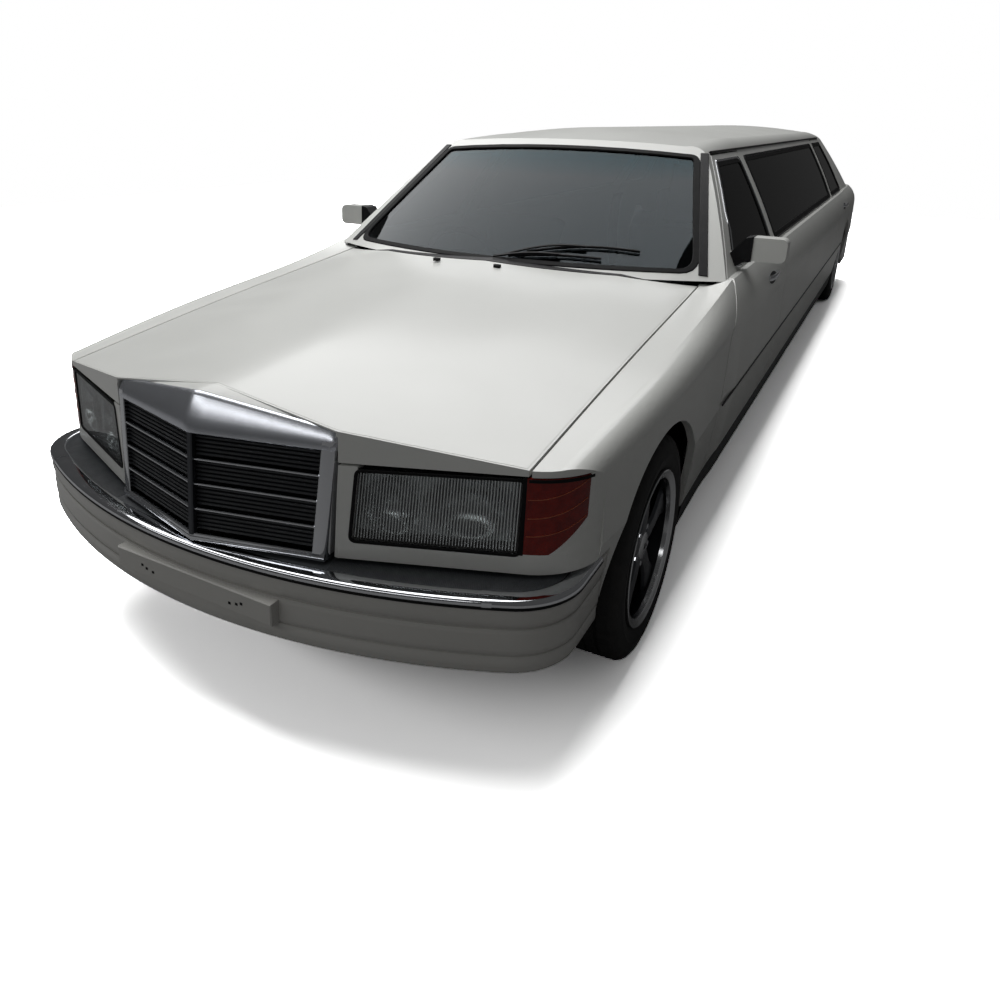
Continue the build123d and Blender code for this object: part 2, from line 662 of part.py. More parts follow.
# depth, z0, z1 of each layer of the front bumper
BUMPER_LAYERS = ((4, 472, BUMPER_TOP), (0, 436, 472), (4, 428, 436), (9, 424, 428), (3, 359, 424),
                 (9, 355, 359), (5, 308, 355))
front_bumper = Part()
for depth, z0, z1 in BUMPER_LAYERS:
    front_bumper += bumper_layer(depth, z0, z1, BUMPER_WALL - depth)
PLINTH_Z = 390
plinth = block(-255, 255, -NOSE_REACH, 20, PLINTH_Z - 29, PLINTH_Z + 29)
front_bumper += plinth - bumper_layer(20, 300, 500, BUMPER_WALL)
bumper_end = rod_x(WHEELHOUSE_RADIUS + 9, -1000, 1000, FRONT_AXLE_S, AXLE_Z)
front_bumper -= bumper_end
for x in (-150, 150):
    front_bumper -= rod_y(4, -NOSE_REACH - 10, -NOSE_REACH + 18, x, PLINTH_Z)
save("front_bumper", front_bumper)

pad = bumper_layer(10, BUMPER_TOP, 496, 125) - bumper_end
save("bumper_pad", pad)
strip = bumper_layer(-2, 483, 499, 11.7) - bumper_end
save("bumper_trim", strip - pad)

rear_bumper_outer = block(-872, 872, 7300, TAIL_END_S, 230, REAR_BUMPER_TOP)
rear_bumper = fillet(rear_bumper_outer.edges().filter_by(Axis.Z).group_by(Axis.Y)[-1], 110)
rear_bumper -= block(-812, 812, 7290, TAIL_END_S - 60, 200, 600)
rear_bumper -= rear_arch
save("rear_bumper", rear_bumper)

# Floor
FLOOR_Z = 215
FLOOR = 18
TUNNEL = 130
TUNNEL_TOP = 370
TRUNK_FLOOR_Z = 420
section = ((-690, FLOOR_Z), (-TUNNEL, FLOOR_Z), (-TUNNEL, TUNNEL_TOP - FLOOR), (TUNNEL, TUNNEL_TOP - FLOOR),
           (TUNNEL, FLOOR_Z), (690, FLOOR_Z), (690, FLOOR_Z + FLOOR), (TUNNEL + FLOOR, FLOOR_Z + FLOOR),
           (TUNNEL + FLOOR, TUNNEL_TOP), (-TUNNEL - FLOOR, TUNNEL_TOP), (-TUNNEL - FLOOR, FLOOR_Z + FLOOR),
           (-690, FLOOR_Z + FLOOR))
floor_pan = front_prism(section, 1515, 6245)
floor_pan += block(-600, 600, 6227, 6245, FLOOR_Z, TRUNK_FLOOR_Z + FLOOR) - rod_y(70, 6000, 6400, 0, 290)
floor_pan += block(-600, 600, 6227, 7768, TRUNK_FLOOR_Z, TRUNK_FLOOR_Z + FLOOR)
for sign in (-1, 1):
    floor_pan += block(sign * 600, sign * 590, 6227, 7768, TRUNK_FLOOR_Z, 880)
save("floor_pan", floor_pan)

# Front structure: firewall, rails, radiator, wheelhouses
RAIL_IN = 370
RAIL_OUT = 450
RAIL_LOW = 400
front_structure = block(-688, 688, 1495, 1515, FLOOR_Z, 880)
front_structure -= block(-TUNNEL, TUNNEL, 1400, 1600, 0, TUNNEL_TOP - FLOOR)
for sign in (-1, 1):
    front_structure += block(sign * RAIL_IN, sign * RAIL_OUT, 60, 1495, RAIL_LOW, 470)
    house = rod_x(WHEELHOUSE_RADIUS + 8, sign * RAIL_OUT, sign * 820, FRONT_AXLE_S, AXLE_Z)
    house -= rod_x(WHEELHOUSE_RADIUS, sign * (RAIL_OUT + 10), sign * 900, FRONT_AXLE_S, AXLE_Z)
    house &= block(-900, 900, 0, 2000, AXLE_Z, 1000)
    house -= block(sign * 400, sign * 470, FRONT_AXLE_S - 40, FRONT_AXLE_S + 40, 300, 399)
    front_structure += house
    front_structure += block(sign * RAIL_OUT, sign * 688, 1300, 1500, 520, 560) - rod_x(
        WHEELHOUSE_RADIUS, -900, 900, FRONT_AXLE_S, AXLE_Z)
front_structure += block(-RAIL_IN, RAIL_IN, 190, 230, 300, 700)
save("front_structure", front_structure - front_bumper)

# Engine and driveline
engine = block(-300, 300, 420, 1150, 330, 740)
engine = fillet(engine.edges().filter_by(Axis.Y), 40)
for sign in (-1, 1):
    engine += block(sign * 300, sign * RAIL_IN, 700, 800, 410, 460)
save("engine", engine)
driveline = rod_y(95, 1150, 1480, 0, 370) + rod_y(40, 1440, 6505, 0, 290)
save("driveline", driveline)

# Exhaust: pipe, muffler and tail pipe
exhaust = rod_y(28, 1300, 6900, -330, 180) + rod_y(28, 7200, 7840, -330, 195)
exhaust += block(-460, -250, 6900, 7200, 150, 330)
for s in (2500, 4500, 6200):
    exhaust += block(-342, -318, s, s + 40, 195, FLOOR_Z)
save("exhaust", exhaust)

# Axles
KINGPIN_X = FRONT_TRACK / 2 - 100
ARM_END = KINGPIN_X + 24
front_axle = block(-365, 365, FRONT_AXLE_S - 60, FRONT_AXLE_S + 60, 240, 320)
for sign in (-1, 1):
    front_axle += block(sign * 320, sign * ARM_END, FRONT_AXLE_S - 28, FRONT_AXLE_S + 28, 215, 240)
    front_axle += block(sign * 320, sign * 400, FRONT_AXLE_S - 40, FRONT_AXLE_S + 40, 240, RAIL_LOW)
    front_axle += block(sign * 320, sign * ARM_END, FRONT_AXLE_S - 22, FRONT_AXLE_S + 22, 375, 395)
save("front_axle", front_axle)

HUB_REACH = 20
rear_axle = rod_x(42, -640, 640, REAR_AXLE_S, AXLE_Z)
rear_axle += block(-130, 130, 6505, 6790, 230, 400)
for sign in (-1, 1):
    rear_axle += rod_x(29.5, sign * 600, sign * (REAR_TRACK / 2 + HUB_REACH), REAR_AXLE_S, AXLE_Z)
    rear_axle += block(sign * 480, sign * 560, REAR_AXLE_S - 45, REAR_AXLE_S + 45, AXLE_Z, TRUNK_FLOOR_Z)
save("rear_axle", rear_axle)

knuckle = rod_z(24, 240.3, 374.7, KINGPIN_X, FRONT_AXLE_S)
knuckle += rod_x(29.5, KINGPIN_X, FRONT_TRACK / 2 + HUB_REACH, FRONT_AXLE_S, AXLE_Z)
save("knuckle_left", knuckle)
save("knuckle_right", other_side(knuckle))

# Wheels, made about +X with the outer face at +X
TYRE_PROFILE = ((RIM_RADIUS, -TYRE_WIDTH / 2), (RIM_RADIUS, TYRE_WIDTH / 2),
                (TYRE_RADIUS, TYRE_WIDTH / 2), (TYRE_RADIUS, -TYRE_WIDTH / 2))


def about_x(profile):
    """Solid turned about X from (radius, x) points."""
    points = [(x, r) for r, x in profile]
    return revolve(face_of(points), axis=Axis.X)


tyre = about_x(TYRE_PROFILE)
barrel = about_x(((205, -96), (215.7, -96), (215.7, 96), (215.7, 104), (226, 104), (226, 110), (196, 106),
                  (205, 80)))
hub = about_x(((30.5, -58), (72, -58), (72, 70), (0.01, 70), (0.01, HUB_REACH + 4), (30.5, HUB_REACH + 4)))
disc = about_x(((60, -40), (150, -40), (150, -18), (60, -18)))
rim = barrel + hub + disc
for i in range(SPOKES):
    spoke = extrude(Plane.YZ.offset(58) * face_of(((-34, 40), (34, 40), (46, 210), (-46, 210))), amount=36)
    rim += Rot(360 / SPOKES * i, 0, 0) * (spoke & about_x(((20, 0), (210, 0), (210, 120), (20, 120))))

for name, track, s in (("front", FRONT_TRACK, FRONT_AXLE_S), ("rear", REAR_TRACK, REAR_AXLE_S)):
    place = Pos(track / 2, along(s), AXLE_Z)
    for side, turn in (("left", lambda shape: shape), ("right", other_side)):
        save(f"tyre_{name}_{side}", turn(place * tyre))
        save(f"rim_{name}_{side}", turn(place * rim))

# Mirrors on the front doors
mirror_body = fillet(block(846, 990, 2000, 2075, 985, 1072).edges().filter_by(Axis.Y), 22)
mirror_base = block(780, 856, 2005, 2065, 972, 1012) - house_outer
left_mirror = mirror_body + mirror_base
save("mirror_left", left_mirror)
save("mirror_right", other_side(left_mirror))

# Cabin
WHEEL_X = -370
WHEEL_S = 2110
WHEEL_Z = 830
WHEEL_TILT = 65
steering_place = Pos(WHEEL_X, along(WHEEL_S), WHEEL_Z) * Rot(-WHEEL_TILT, 0, 0)
dashboard = fillet(block(-690, 690, 1730, 2010, 690, 922).edges().filter_by(Axis.X), 45)
dashboard += block(-686, 686, 1515, 1800, 745, 805)
dashboard += steering_place * Pos(0, 0, -130.5) * Cylinder(34, 80)
save("dashboard", dashboard)

steering = Torus(185, 14) + Pos(0, 0, -25) * Cylinder(60, 50) + Pos(0, 0, -10) * Box(370, 40, 16)
steering += Pos(0, 0, -69) * Cylinder(20, 42)
save("steering_wheel", steering_place * steering)


def seat(x, s, width, low, base_low):
    cushion = fillet(block(x - width / 2, x + width / 2, s, s + 480, low, low + 140).edges(), 35)
    back = fillet(Box(width, 130, 580).edges(), 35)
    back = Pos(x, along(s + 500), low + 400) * Rot(-18, 0, 0) * back
    base = block(x - width / 2 + 30, x + width / 2 - 30, s + 60, s + 220, base_low, low + 20)
    return cushion + back + base


FRONT_SEAT_X = 385
save("front_seats", both_sides(seat(FRONT_SEAT_X, 2250, 460, 340, FLOOR_Z + FLOOR)))
save("rear_seats", seat(0, 5980, 1180, 445, TUNNEL_TOP))

# Wipers lie along the windshield's foot
WIPER_HEIGHT = 16
wiper_layer = windshield_region(-22) - windshield_region(2.5)
wipers = Part()
for x0, x1, z0, z1 in ((-420, 130, 985, 1012), (60, 600, 985, 1012)):
    outline = ((x0, z0), (x1, z1), (x1, z1 + WIPER_HEIGHT), (x0, z0 + WIPER_HEIGHT))
    wipers += wiper_layer & front_prism(outline, 1500, 2200)
save("wipers", wipers)
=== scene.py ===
import math

import bmesh
import bpy
from mathutils import Matrix, Vector


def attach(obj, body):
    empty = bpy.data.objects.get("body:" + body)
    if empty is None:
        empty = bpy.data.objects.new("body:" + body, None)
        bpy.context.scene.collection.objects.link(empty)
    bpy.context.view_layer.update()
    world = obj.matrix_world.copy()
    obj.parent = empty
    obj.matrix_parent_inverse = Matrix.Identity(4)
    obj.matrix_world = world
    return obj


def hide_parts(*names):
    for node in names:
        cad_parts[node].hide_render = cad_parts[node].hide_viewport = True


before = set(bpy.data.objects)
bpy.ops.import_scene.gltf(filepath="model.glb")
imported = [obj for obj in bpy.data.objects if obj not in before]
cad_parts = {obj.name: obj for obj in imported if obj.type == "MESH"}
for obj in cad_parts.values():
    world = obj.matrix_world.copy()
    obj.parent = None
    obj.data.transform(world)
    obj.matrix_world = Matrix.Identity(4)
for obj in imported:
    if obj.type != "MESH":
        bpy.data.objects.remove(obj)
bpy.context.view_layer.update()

# The part's own sizes in mm; s is the distance behind the nose's datum
LENGTH = 7900
NOSE_REACH = 30
FRONT_AXLE_S = 868
REAR_AXLE_S = 6653
FRONT_TRACK = 1555
REAR_TRACK = 1527
AXLE_Z = 328
SIDES = ((1, "left"), (-1, "right"))


def at(x, s, z):
    return Vector((x, s + NOSE_REACH - LENGTH / 2, z)) / 1000


def turns(count):
    """Equal angles round a circle."""
    return [2 * math.pi * k / count for k in range(count)]


def spread(first, last, steps):
    """Equal steps from the first value to the last one, both included."""
    return [first + (last - first) * i / steps for i in range(steps + 1)]


def rgb(r, g, b):
    """Linear colour from 0-255 display values."""
    def linear(v):
        v = v / 255
        return v / 12.92 if v <= 0.04045 else ((v + 0.055) / 1.055) ** 2.4

    return (linear(r), linear(g), linear(b), 1)


# Materials
def shader(name, colour, roughness=0.5, metallic=0.0, **sockets):
    mat = bpy.data.materials.new(name)
    mat.use_nodes = True
    bsdf = mat.node_tree.nodes["Principled BSDF"]
    bsdf.inputs["Base Color"].default_value = colour
    bsdf.inputs["Roughness"].default_value = roughness
    bsdf.inputs["Metallic"].default_value = metallic
    for socket, value in sockets.items():
        bsdf.inputs[socket.replace("_", " ")].default_value = value
    return mat


def noise(mat, scale, detail=3.0):
    """A noise texture in metres of the object's own frame."""
    nodes, links = mat.node_tree.nodes, mat.node_tree.links
    coords = nodes.new("ShaderNodeTexCoord")
    texture = nodes.new("ShaderNodeTexNoise")
    texture.inputs["Scale"].default_value = scale
    texture.inputs["Detail"].default_value = detail
    links.new(coords.outputs["Object"], texture.inputs["Vector"])
    return texture.outputs["Fac"]


def ramp(mat, factor, stops):
    """Colour ramp over a factor; stops are (position, colour)."""
    nodes, links = mat.node_tree.nodes, mat.node_tree.links
    node = nodes.new("ShaderNodeValToRGB")
    elements = node.color_ramp.elements
    while len(elements) < len(stops):
        elements.new(0.5)
    for element, (position, colour) in zip(elements, stops):
        element.position = position
        element.color = colour
    links.new(factor, node.inputs["Fac"])
    return node.outputs["Color"]


def into(mat, output, socket):
    mat.node_tree.links.new(output, mat.node_tree.nodes["Principled BSDF"].inputs[socket])


def tint(mat, scale, first, second):
    into(mat, ramp(mat, noise(mat, scale), ((0.35, first), (0.65, second))), "Base Color")


def gloss(mat, scale, low, high):
    grey = ((0.3, (low, low, low, 1)), (0.7, (high, high, high, 1)))
    into(mat, ramp(mat, noise(mat, scale), grey), "Roughness")


def bump(mat, height, distance, strength):
    node = mat.node_tree.nodes.new("ShaderNodeBump")
    node.inputs["Strength"].default_value = strength
    node.inputs["Distance"].default_value = distance
    mat.node_tree.links.new(height, node.inputs["Height"])
    into(mat, node.outputs["Normal"], "Normal")


def paint(name, first, second):
    mat = shader(name, first, 0.4, Coat_Weight=0.45, Coat_Roughness=0.16)
    tint(mat, 1.2, first, second)
    gloss(mat, 6, 0.37, 0.43)
    return mat


def chrome_finish(name, colour, low, high):
    mat = shader(name, colour, low, 1.0)
    gloss(mat, 22, low, high)
    return mat


def moulded(name, first, second, roughness, grain=1400, shine=0.5):
    mat = shader(name, first, roughness, Specular_IOR_Level=shine)
    tint(mat, 30, first, second)
    bump(mat, noise(mat, grain, 2.0), 0.0004, 0.25)
    return mat


body_paint = paint("pearl_white_paint", rgb(220, 221, 217), rgb(214, 215, 211))
# A darker copy of the white body paint for the body-coloured bumpers: painted shade
shaded_lower_paint = paint("shaded_white_paint", rgb(192, 191, 187), rgb(184, 183, 178))
chrome = chrome_finish("chrome", rgb(226, 228, 232), 0.05, 0.12)
satin_chrome = chrome_finish("satin_chrome", rgb(232, 235, 242), 0.25, 0.27)
polished = chrome_finish("polished_alloy", rgb(205, 206, 208), 0.14, 0.26)
alloy_dark = chrome_finish("grey_alloy", rgb(88, 90, 94), 0.3, 0.42)
reflector = chrome_finish("lamp_reflector", rgb(205, 207, 208), 0.1, 0.2)
steel_dark = chrome_finish("dark_steel", rgb(74, 74, 76), 0.4, 0.6)
black_plastic = moulded("black_plastic", rgb(20, 20, 22), rgb(26, 26, 28), 0.45, shine=0.2)
slat_plastic = moulded("slat_plastic", rgb(44, 46, 49), rgb(50, 52, 55), 0.35)
grey_plastic = moulded("grey_plastic", rgb(62, 65, 68), rgb(70, 73, 76), 0.5)
rubber = moulded("black_rubber", rgb(16, 16, 17), rgb(22, 22, 23), 0.62, 900, 0.15)
tyre_rubber = moulded("tyre_rubber", rgb(24, 24, 25), rgb(34, 33, 32), 0.78, 420)
underbody = moulded("underbody_black", rgb(30, 30, 31), rgb(42, 40, 38), 0.75, 240)
dash_vinyl = moulded("dark_vinyl", rgb(34, 33, 34), rgb(42, 41, 42), 0.55, 1100)
leather = moulded("grey_leather", rgb(112, 108, 103), rgb(98, 95, 90), 0.5, 700)


def glass_sheet(name, colour, ior=1.48):
    return shader(name, colour, 0.0, IOR=ior, Transmission_Weight=1.0)


lamp_glass = glass_sheet("lamp_glass", rgb(205, 209, 209))
side_glass = glass_sheet("tinted_glass", rgb(40, 43, 42), ior=1.12)


def banded_glass(name, low_z, high_z, clear, band):
    """Tinted screen with a darker sun band towards its top edge, and a painted reflection: its reflections
    are tinted pale blue at the foot and darker teal at the top.
    """
    mat = glass_sheet(name, clear, 1.32)
    nodes, links = mat.node_tree.nodes, mat.node_tree.links
    coords = nodes.new("ShaderNodeTexCoord")
    split = nodes.new("ShaderNodeSeparateXYZ")
    scale = nodes.new("ShaderNodeMapRange")
    scale.inputs["From Min"].default_value = low_z
    scale.inputs["From Max"].default_value = high_z
    links.new(coords.outputs["Object"], split.inputs["Vector"])
    links.new(split.outputs["Z"], scale.inputs["Value"])
    into(mat, ramp(mat, scale.outputs["Result"], ((0.1, clear), (0.9, band))), "Base Color")
    # Painted reflection colour: the reflections are tinted pale blue at the foot and darker teal at the top
    reflection_tint = ((0.1, (0.78, 0.92, 1.0, 1)), (0.9, (0.3, 0.6, 0.72, 1)))
    into(mat, ramp(mat, scale.outputs["Result"], reflection_tint), "Specular Tint")
    return mat


screen_glass = banded_glass("screen_glass", 1.24, 1.33, rgb(96, 100, 103), rgb(46, 92, 104))


def lens_plastic(name, first, second):
    mat = shader(name, first, 0.12, Transmission_Weight=0.25, Specular_IOR_Level=0.25, Coat_Weight=0.2,
                 Coat_Roughness=0.05)
    tint(mat, 40, first, second)
    gloss(mat, 30, 0.1, 0.18)
    return mat


amber = lens_plastic("amber_lens", rgb(142, 24, 4), rgb(118, 14, 3))
mirror_glass = chrome_finish("mirror_glass", rgb(200, 204, 208), 0.02, 0.05)
plate_white = moulded("blank_plate", rgb(206, 206, 202), rgb(198, 198, 194), 0.4)
# Lighter amber for the indicator's raised lines: painted highlights on the lens's ribs
amber_painted_highlight = lens_plastic("amber_painted_highlight", rgb(186, 98, 70), rgb(170, 84, 58))
red_lens = lens_plastic("red_lens", rgb(150, 16, 14), rgb(132, 12, 12))


# Finishes of the CAD nodes
def four(name):
    return [f"{name}_{end}_{side_name}" for end in ("front", "rear") for sign, side_name in SIDES]


NODE_FINISH = (
    (body_paint, ("hood", "front_fenders", "roof", "windshield_frame", "rear_pillars", "stretch_panels",
                  "quarter_panels", "trunk_lid", "nose_panel", "mirror_left", "mirror_right", "tail_panel",
                  *four("door"))),
    # The bumpers take the darker copy of the body paint: painted shade
    (shaded_lower_paint, ("front_bumper", "rear_bumper")),
    (chrome, ("grille_shell", "bumper_trim")),
    (black_plastic, ("grille_slats", "headlamp_housings", "wipers", "sills", "cowl")),
    (grey_plastic, ("bumper_pad",)),
    (screen_glass, ("windshield",)),
    (side_glass, ("rear_window", "stretch_windows", *four("door_glass"))),
    (lamp_glass, ("headlamp_lenses",)),
    (amber, ("indicator_lenses",)),
    (red_lens, ("tail_lamps",)),
    (dash_vinyl, ("dashboard", "steering_wheel", "front_seats", "rear_seats", "rear_deck")),
    (underbody, ("floor_pan", "front_structure", "engine", "driveline", "exhaust", "hinge_posts")),
    (steel_dark, ("front_axle", "rear_axle", "knuckle_left", "knuckle_right")),
    (alloy_dark, four("rim")),
    (tyre_rubber, four("tyre")),
)
for finish, names in NODE_FINISH:
    for name in names:
        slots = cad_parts[name].data.materials
        slots.clear()
        slots.append(finish)


# Building pieces
def piece(name, verts, faces, mat, body="body", sharp=35):
    mesh = bpy.data.meshes.new(name)
    mesh.from_pydata(verts, [], faces)
    bm = bmesh.new()
    bm.from_mesh(mesh)
    bmesh.ops.remove_doubles(bm, verts=bm.verts, dist=1e-6)
    bmesh.ops.recalc_face_normals(bm, faces=bm.faces)
    bm.to_mesh(mesh)
    bm.free()
    mesh.materials.append(mat)
    mesh.shade_smooth()
    mesh.set_sharp_from_angle(angle=math.radians(sharp))
    obj = bpy.data.objects.new(name, mesh)
    bpy.context.scene.collection.objects.link(obj)
    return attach(obj, body)


def tube_faces(count, size, loop=False):
    """Faces through equal rings, with capped ends unless the last ring meets the first."""
    faces = []
    for i in range(count if loop else count - 1):
        a, b = i * size, (i + 1) % count * size
        faces += [(a + j, b + j, b + (j + 1) % size, a + (j + 1) % size) for j in range(size)]
    if not loop:
        faces.append(tuple(range(size)))
        faces.append(tuple(range((count - 1) * size, count * size)))
    return faces


def sweep(name, path, normals, profile, mat, body, loop):
    """A closed profile of (across, out) in mm carried along a path with surface normals."""
    count = len(path)
    verts = []
    for i, point in enumerate(path):
        before = path[i - 1] if i or loop else point
        after = path[(i + 1) % count] if i + 1 < count or loop else point
        tangent = (after - before).normalized()
        across = tangent.cross(normals[i]).normalized()
        out = across.cross(tangent)
        verts += [point + (across * u + out * v) / 1000 for u, v in profile]
    return piece(name, verts, tube_faces(count, len(profile), loop), mat, body)


def flat_bar(width, low, high, edge):
    """Strip profile with chamfered outer edges."""
    w = width / 2
    return ((-w, low), (-w, high - edge), (-w + edge, high), (w - edge, high), (w, high - edge), (w, low))


def rounded(points, radius):
    """Closed 2-D outline with its corners rounded."""
    result = []
    count = len(points)
    for i in range(count):
        p = Vector(points[i])
        a = Vector(points[i - 1]) - p
        b = Vector(points[(i + 1) % count]) - p
        half = a.angle(b) / 2
        reach = min(radius / math.tan(half), 0.45 * a.length, 0.45 * b.length)
        start, end = p + a.normalized() * reach, p + b.normalized() * reach
        for t in spread(0, 1, 5):
            result.append(start * (1 - t) ** 2 + p * 2 * t * (1 - t) + end * t ** 2)
    return result


def divided(points, longest):
    """The closed outline with extra points so that no run is longer than the given length."""
    result = []
    for a, b in zip(points, points[1:] + points[:1]):
        parts = max(1, math.ceil((b - a).length / longest))
        result += [a.lerp(b, k / parts) for k in range(parts)]
    return result


def lathe(name, profile, centre, side, mat, body, segments, notch=None):
    """Closed profile of (x, radius) in mm turned about the wheel's axle; side is +1 or -1."""
    verts = []
    for i, turn in enumerate(turns(segments)):
        for x, r in profile:
            r = r - (notch(i, x, r) if notch else 0)
            verts.append(centre + Vector((side * x, r * math.cos(turn), r * math.sin(turn))) / 1000)
    return piece(name, verts, tube_faces(segments, len(profile), True), mat, body)


def loft_rings(rings):
    """Vertices and faces of a closed loft through equal rings, with capped ends."""
    return [v for ring in rings for v in ring], tube_faces(len(rings), len(rings[0]))


def merged(meshes):
    """Several meshes as one."""
    verts, faces = [], []
    for v, f in meshes:
        faces += [tuple(i + len(verts) for i in face) for face in f]
        verts += v
    return verts, faces


def slab(front, back):
    """Closed mesh between two equal grids of points."""
    rows, cols = len(front), len(front[0])

    def index(side, i, j):
        return (side * rows + i) * cols + j

    verts = [p for grid in (front, back) for row in grid for p in row]
    faces = []
    for side in (0, 1):
        for i in range(rows - 1):
            for j in range(cols - 1):
                faces.append((index(side, i, j), index(side, i, j + 1), index(side, i + 1, j + 1),
                              index(side, i + 1, j)))
    rim = [(0, j) for j in range(cols)] + [(i, cols - 1) for i in range(1, rows)]
    rim += [(rows - 1, j) for j in range(cols - 2, -1, -1)] + [(i, 0) for i in range(rows - 2, 0, -1)]
    for a, b in zip(rim, rim[1:] + rim[:1]):
        faces.append((index(0, *a), index(1, *a), index(1, *b), index(0, *b)))
    return verts, faces


def sheet_mesh(place, columns, rows, depths):
    """Slab between two depths from a function of the shares across and up and the depth."""
    across, up = spread(0, 1, columns), spread(0, 1, rows)
    return slab(*([[place(a, b, d) for a in across] for b in up] for d in depths))


def box_mesh(x0, x1, s0, s1, z0, z1, edge):
    """Box with chamfered edges at its front and back."""
    rings = []
    for s, inset in ((s0, edge), (s0 + edge, 0), (s1 - edge, 0), (s1, edge)):
        rings.append([at(x, s, z) for x, z in ((x0 + inset, z0 + inset), (x1 - inset, z0 + inset),
                                               (x1 - inset, z1 - inset), (x0 + inset, z1 - inset))])
    return loft_rings(rings)


# Surfaces of the body
def circle_through(p, q, r):
    """Centre and radius of the circle through three (x, z) points."""
    ax, ay, bx, by, cx, cy = *p, *q, *r
    d = 2 * (ax * (by - cy) + bx * (cy - ay) + cx * (ay - by))
    a2, b2, c2 = ax * ax + ay * ay, bx * bx + by * by, cx * cx + cy * cy
    ux = (a2 * (by - cy) + b2 * (cy - ay) + c2 * (ay - by)) / d
    uy = (a2 * (cx - bx) + b2 * (ax - cx) + c2 * (bx - ax)) / d
    return ux, uy, math.hypot(ax - ux, ay - uy)


HOUSE = circle_through((838, 920), (732, 1129), (606, 1338))
SHOULDER = circle_through((905, 782), (889, 868), (848, 945))


def on_circle(circle, z):
    x, cz, radius = circle
    return x + math.sqrt(radius ** 2 - (z - cz) ** 2)


def house_point(s, z, sign, out=0.0):
    """Point and outward normal on the glasshouse's side."""
    x = on_circle(HOUSE, z)
    normal = Vector((x - HOUSE[0], 0, z - HOUSE[1])).normalized()
    normal.x *= sign
    return at(sign * x, s, z) + normal * out / 1000, normal


def side_point(s, z, sign, out=0.0):
    """Point and outward normal on the long middle part of the lower body."""
    if z > 782:
        x = on_circle(SHOULDER, z)
        normal = Vector((x - SHOULDER[0], 0, z - SHOULDER[1])).normalized()
    elif z > 545:
        x = 908 - 3 * (z - 545) / 237
        normal = Vector((1, 0, 0.0127)).normalized()
    else:
        x = 862 + 46 * (z - 205) / 340
        normal = Vector((1, 0, -0.135)).normalized()
    normal.x *= sign
    return at(sign * x, s, z) + normal * out / 1000, normal


def screen_point(kind, x, z, out=0.0):
    """Point and outward normal on the windshield or the rear window."""
    base_s, base_z, slope, radius, way = {"front": (1593, 950, 670 / 425, 1667.2, 1),
                                          "rear": (7127, 985, -570 / 415, 2385.6, -1)}[kind]
    sag = radius - math.sqrt(radius ** 2 - x ** 2)
    s = base_s + way * sag + (z - base_z) * slope
    normal = Vector((x / math.sqrt(radius ** 2 - x ** 2), -way, abs(slope))).normalized()
    return at(x, s, z) + normal * out / 1000, normal


def band(name, points, profile, mat, body="body", loop=True):
    """Sweep along (point, normal) pairs."""
    return sweep(name, [p for p, n in points], [n for p, n in points], profile, mat, body, loop)


# Wheels
TREAD_GROOVES = (-54, -18, 18, 54)


def tyre_profile():
    half = [(95, 217), (97, 224), (104, 233), (110, 246), (112, 262), (112.6, 266), (113.6, 268),
            (113.6, 272), (112.6, 274), (111, 288), (106, 304), (99, 316), (91, 323), (84, 325.5)]
    tread = [(84, 325.5)]
    for groove in reversed(TREAD_GROOVES):
        crown = 328 - (groove / 80) ** 2
        tread += [(groove + 5, crown), (groove + 4, 320), (groove - 4, 320), (groove - 5, crown)]
    left = [(-x, r) for x, r in reversed(half)]
    return half[:-1] + tread + left


def tread_notch(i, x, r):
    """Cross grooves between the blocks of the tread."""
    edge = 56 < abs(x) < 100 and r > 310
    middle = abs(x) < 50 and r > 322
    return 5 if (edge and i % 4 == 0) or (middle and i % 6 == 3) else 0


LIP = ((111, 228), (113, 225), (112, 219), (104, 210), (92, 206), (92, 201), (104, 203), (110, 214),
       (110, 222), (106, 224.5), (101, 224.5), (101, 228))
BARREL = ((92, 206), (60, 209), (-90, 213), (-101, 224), (-101, 227), (-94, 227), (-88, 216.5), (96, 216.5),
          (98, 206))
HUB = ((-58, 31), (-58, 72), (62, 72), (66, 66), (66, 8), (24, 8), (24, 31))
DISC = ((-40, 60), (-40, 150), (-18, 150), (-18, 60))
CAP = ((60, 10), (60, 44), (78, 44), (84, 40), (87, 30), (88, 10))
# name, profile, finish, segments
ROUND_PARTS = (
    ("rim_barrel", BARREL, alloy_dark, 96),
    ("brake_disc", DISC, steel_dark, 64),
    ("hub_cap", CAP, polished, 48),
    ("hub", HUB, alloy_dark, 48),
)
SPOKES = 5
BOLT_CIRCLE_R = 57
# Spoke sections: radius, half width, outer face x, depth
SPOKE_ROWS = ((34, 26, 82, 30), (64, 27, 85, 32), (100, 25, 86, 32), (140, 29, 85, 31), (175, 39, 84, 30),
              (206, 56, 86, 34))


def spoke_mesh(centre, side):
    meshes = []
    for angle in turns(SPOKES):
        turn = angle + math.pi / 2
        radial = Vector((0, math.cos(turn), math.sin(turn)))
        across = Vector((0, -math.sin(turn), math.cos(turn)))
        rings = []
        for r, w, x, deep in SPOKE_ROWS:
            section = ((-w, x - 12), (-w + 5, x - 3), (-w + 14, x), (w - 14, x), (w - 5, x - 3), (w, x - 12),
                       (w - 6, x - deep), (-w + 6, x - deep))
            rings.append([centre + (radial * r + across * u + Vector((side * v, 0, 0))) / 1000
                          for u, v in section])
        meshes.append(loft_rings(rings))
    return merged(meshes)


def bolt_mesh(centre, side):
    meshes = []
    for angle in turns(SPOKES):
        turn = angle + math.pi / SPOKES + math.pi / 2
        middle = centre + Vector((0, math.cos(turn), math.sin(turn))) * BOLT_CIRCLE_R / 1000
        rings = []
        for x, r in ((60, 9), (80, 9), (83, 7), (83.5, 2)):
            rings.append([middle + Vector((side * x, r * math.cos(a), r * math.sin(a))) / 1000
                          for a in turns(6)])
        meshes.append(loft_rings(rings))
    return merged(meshes)


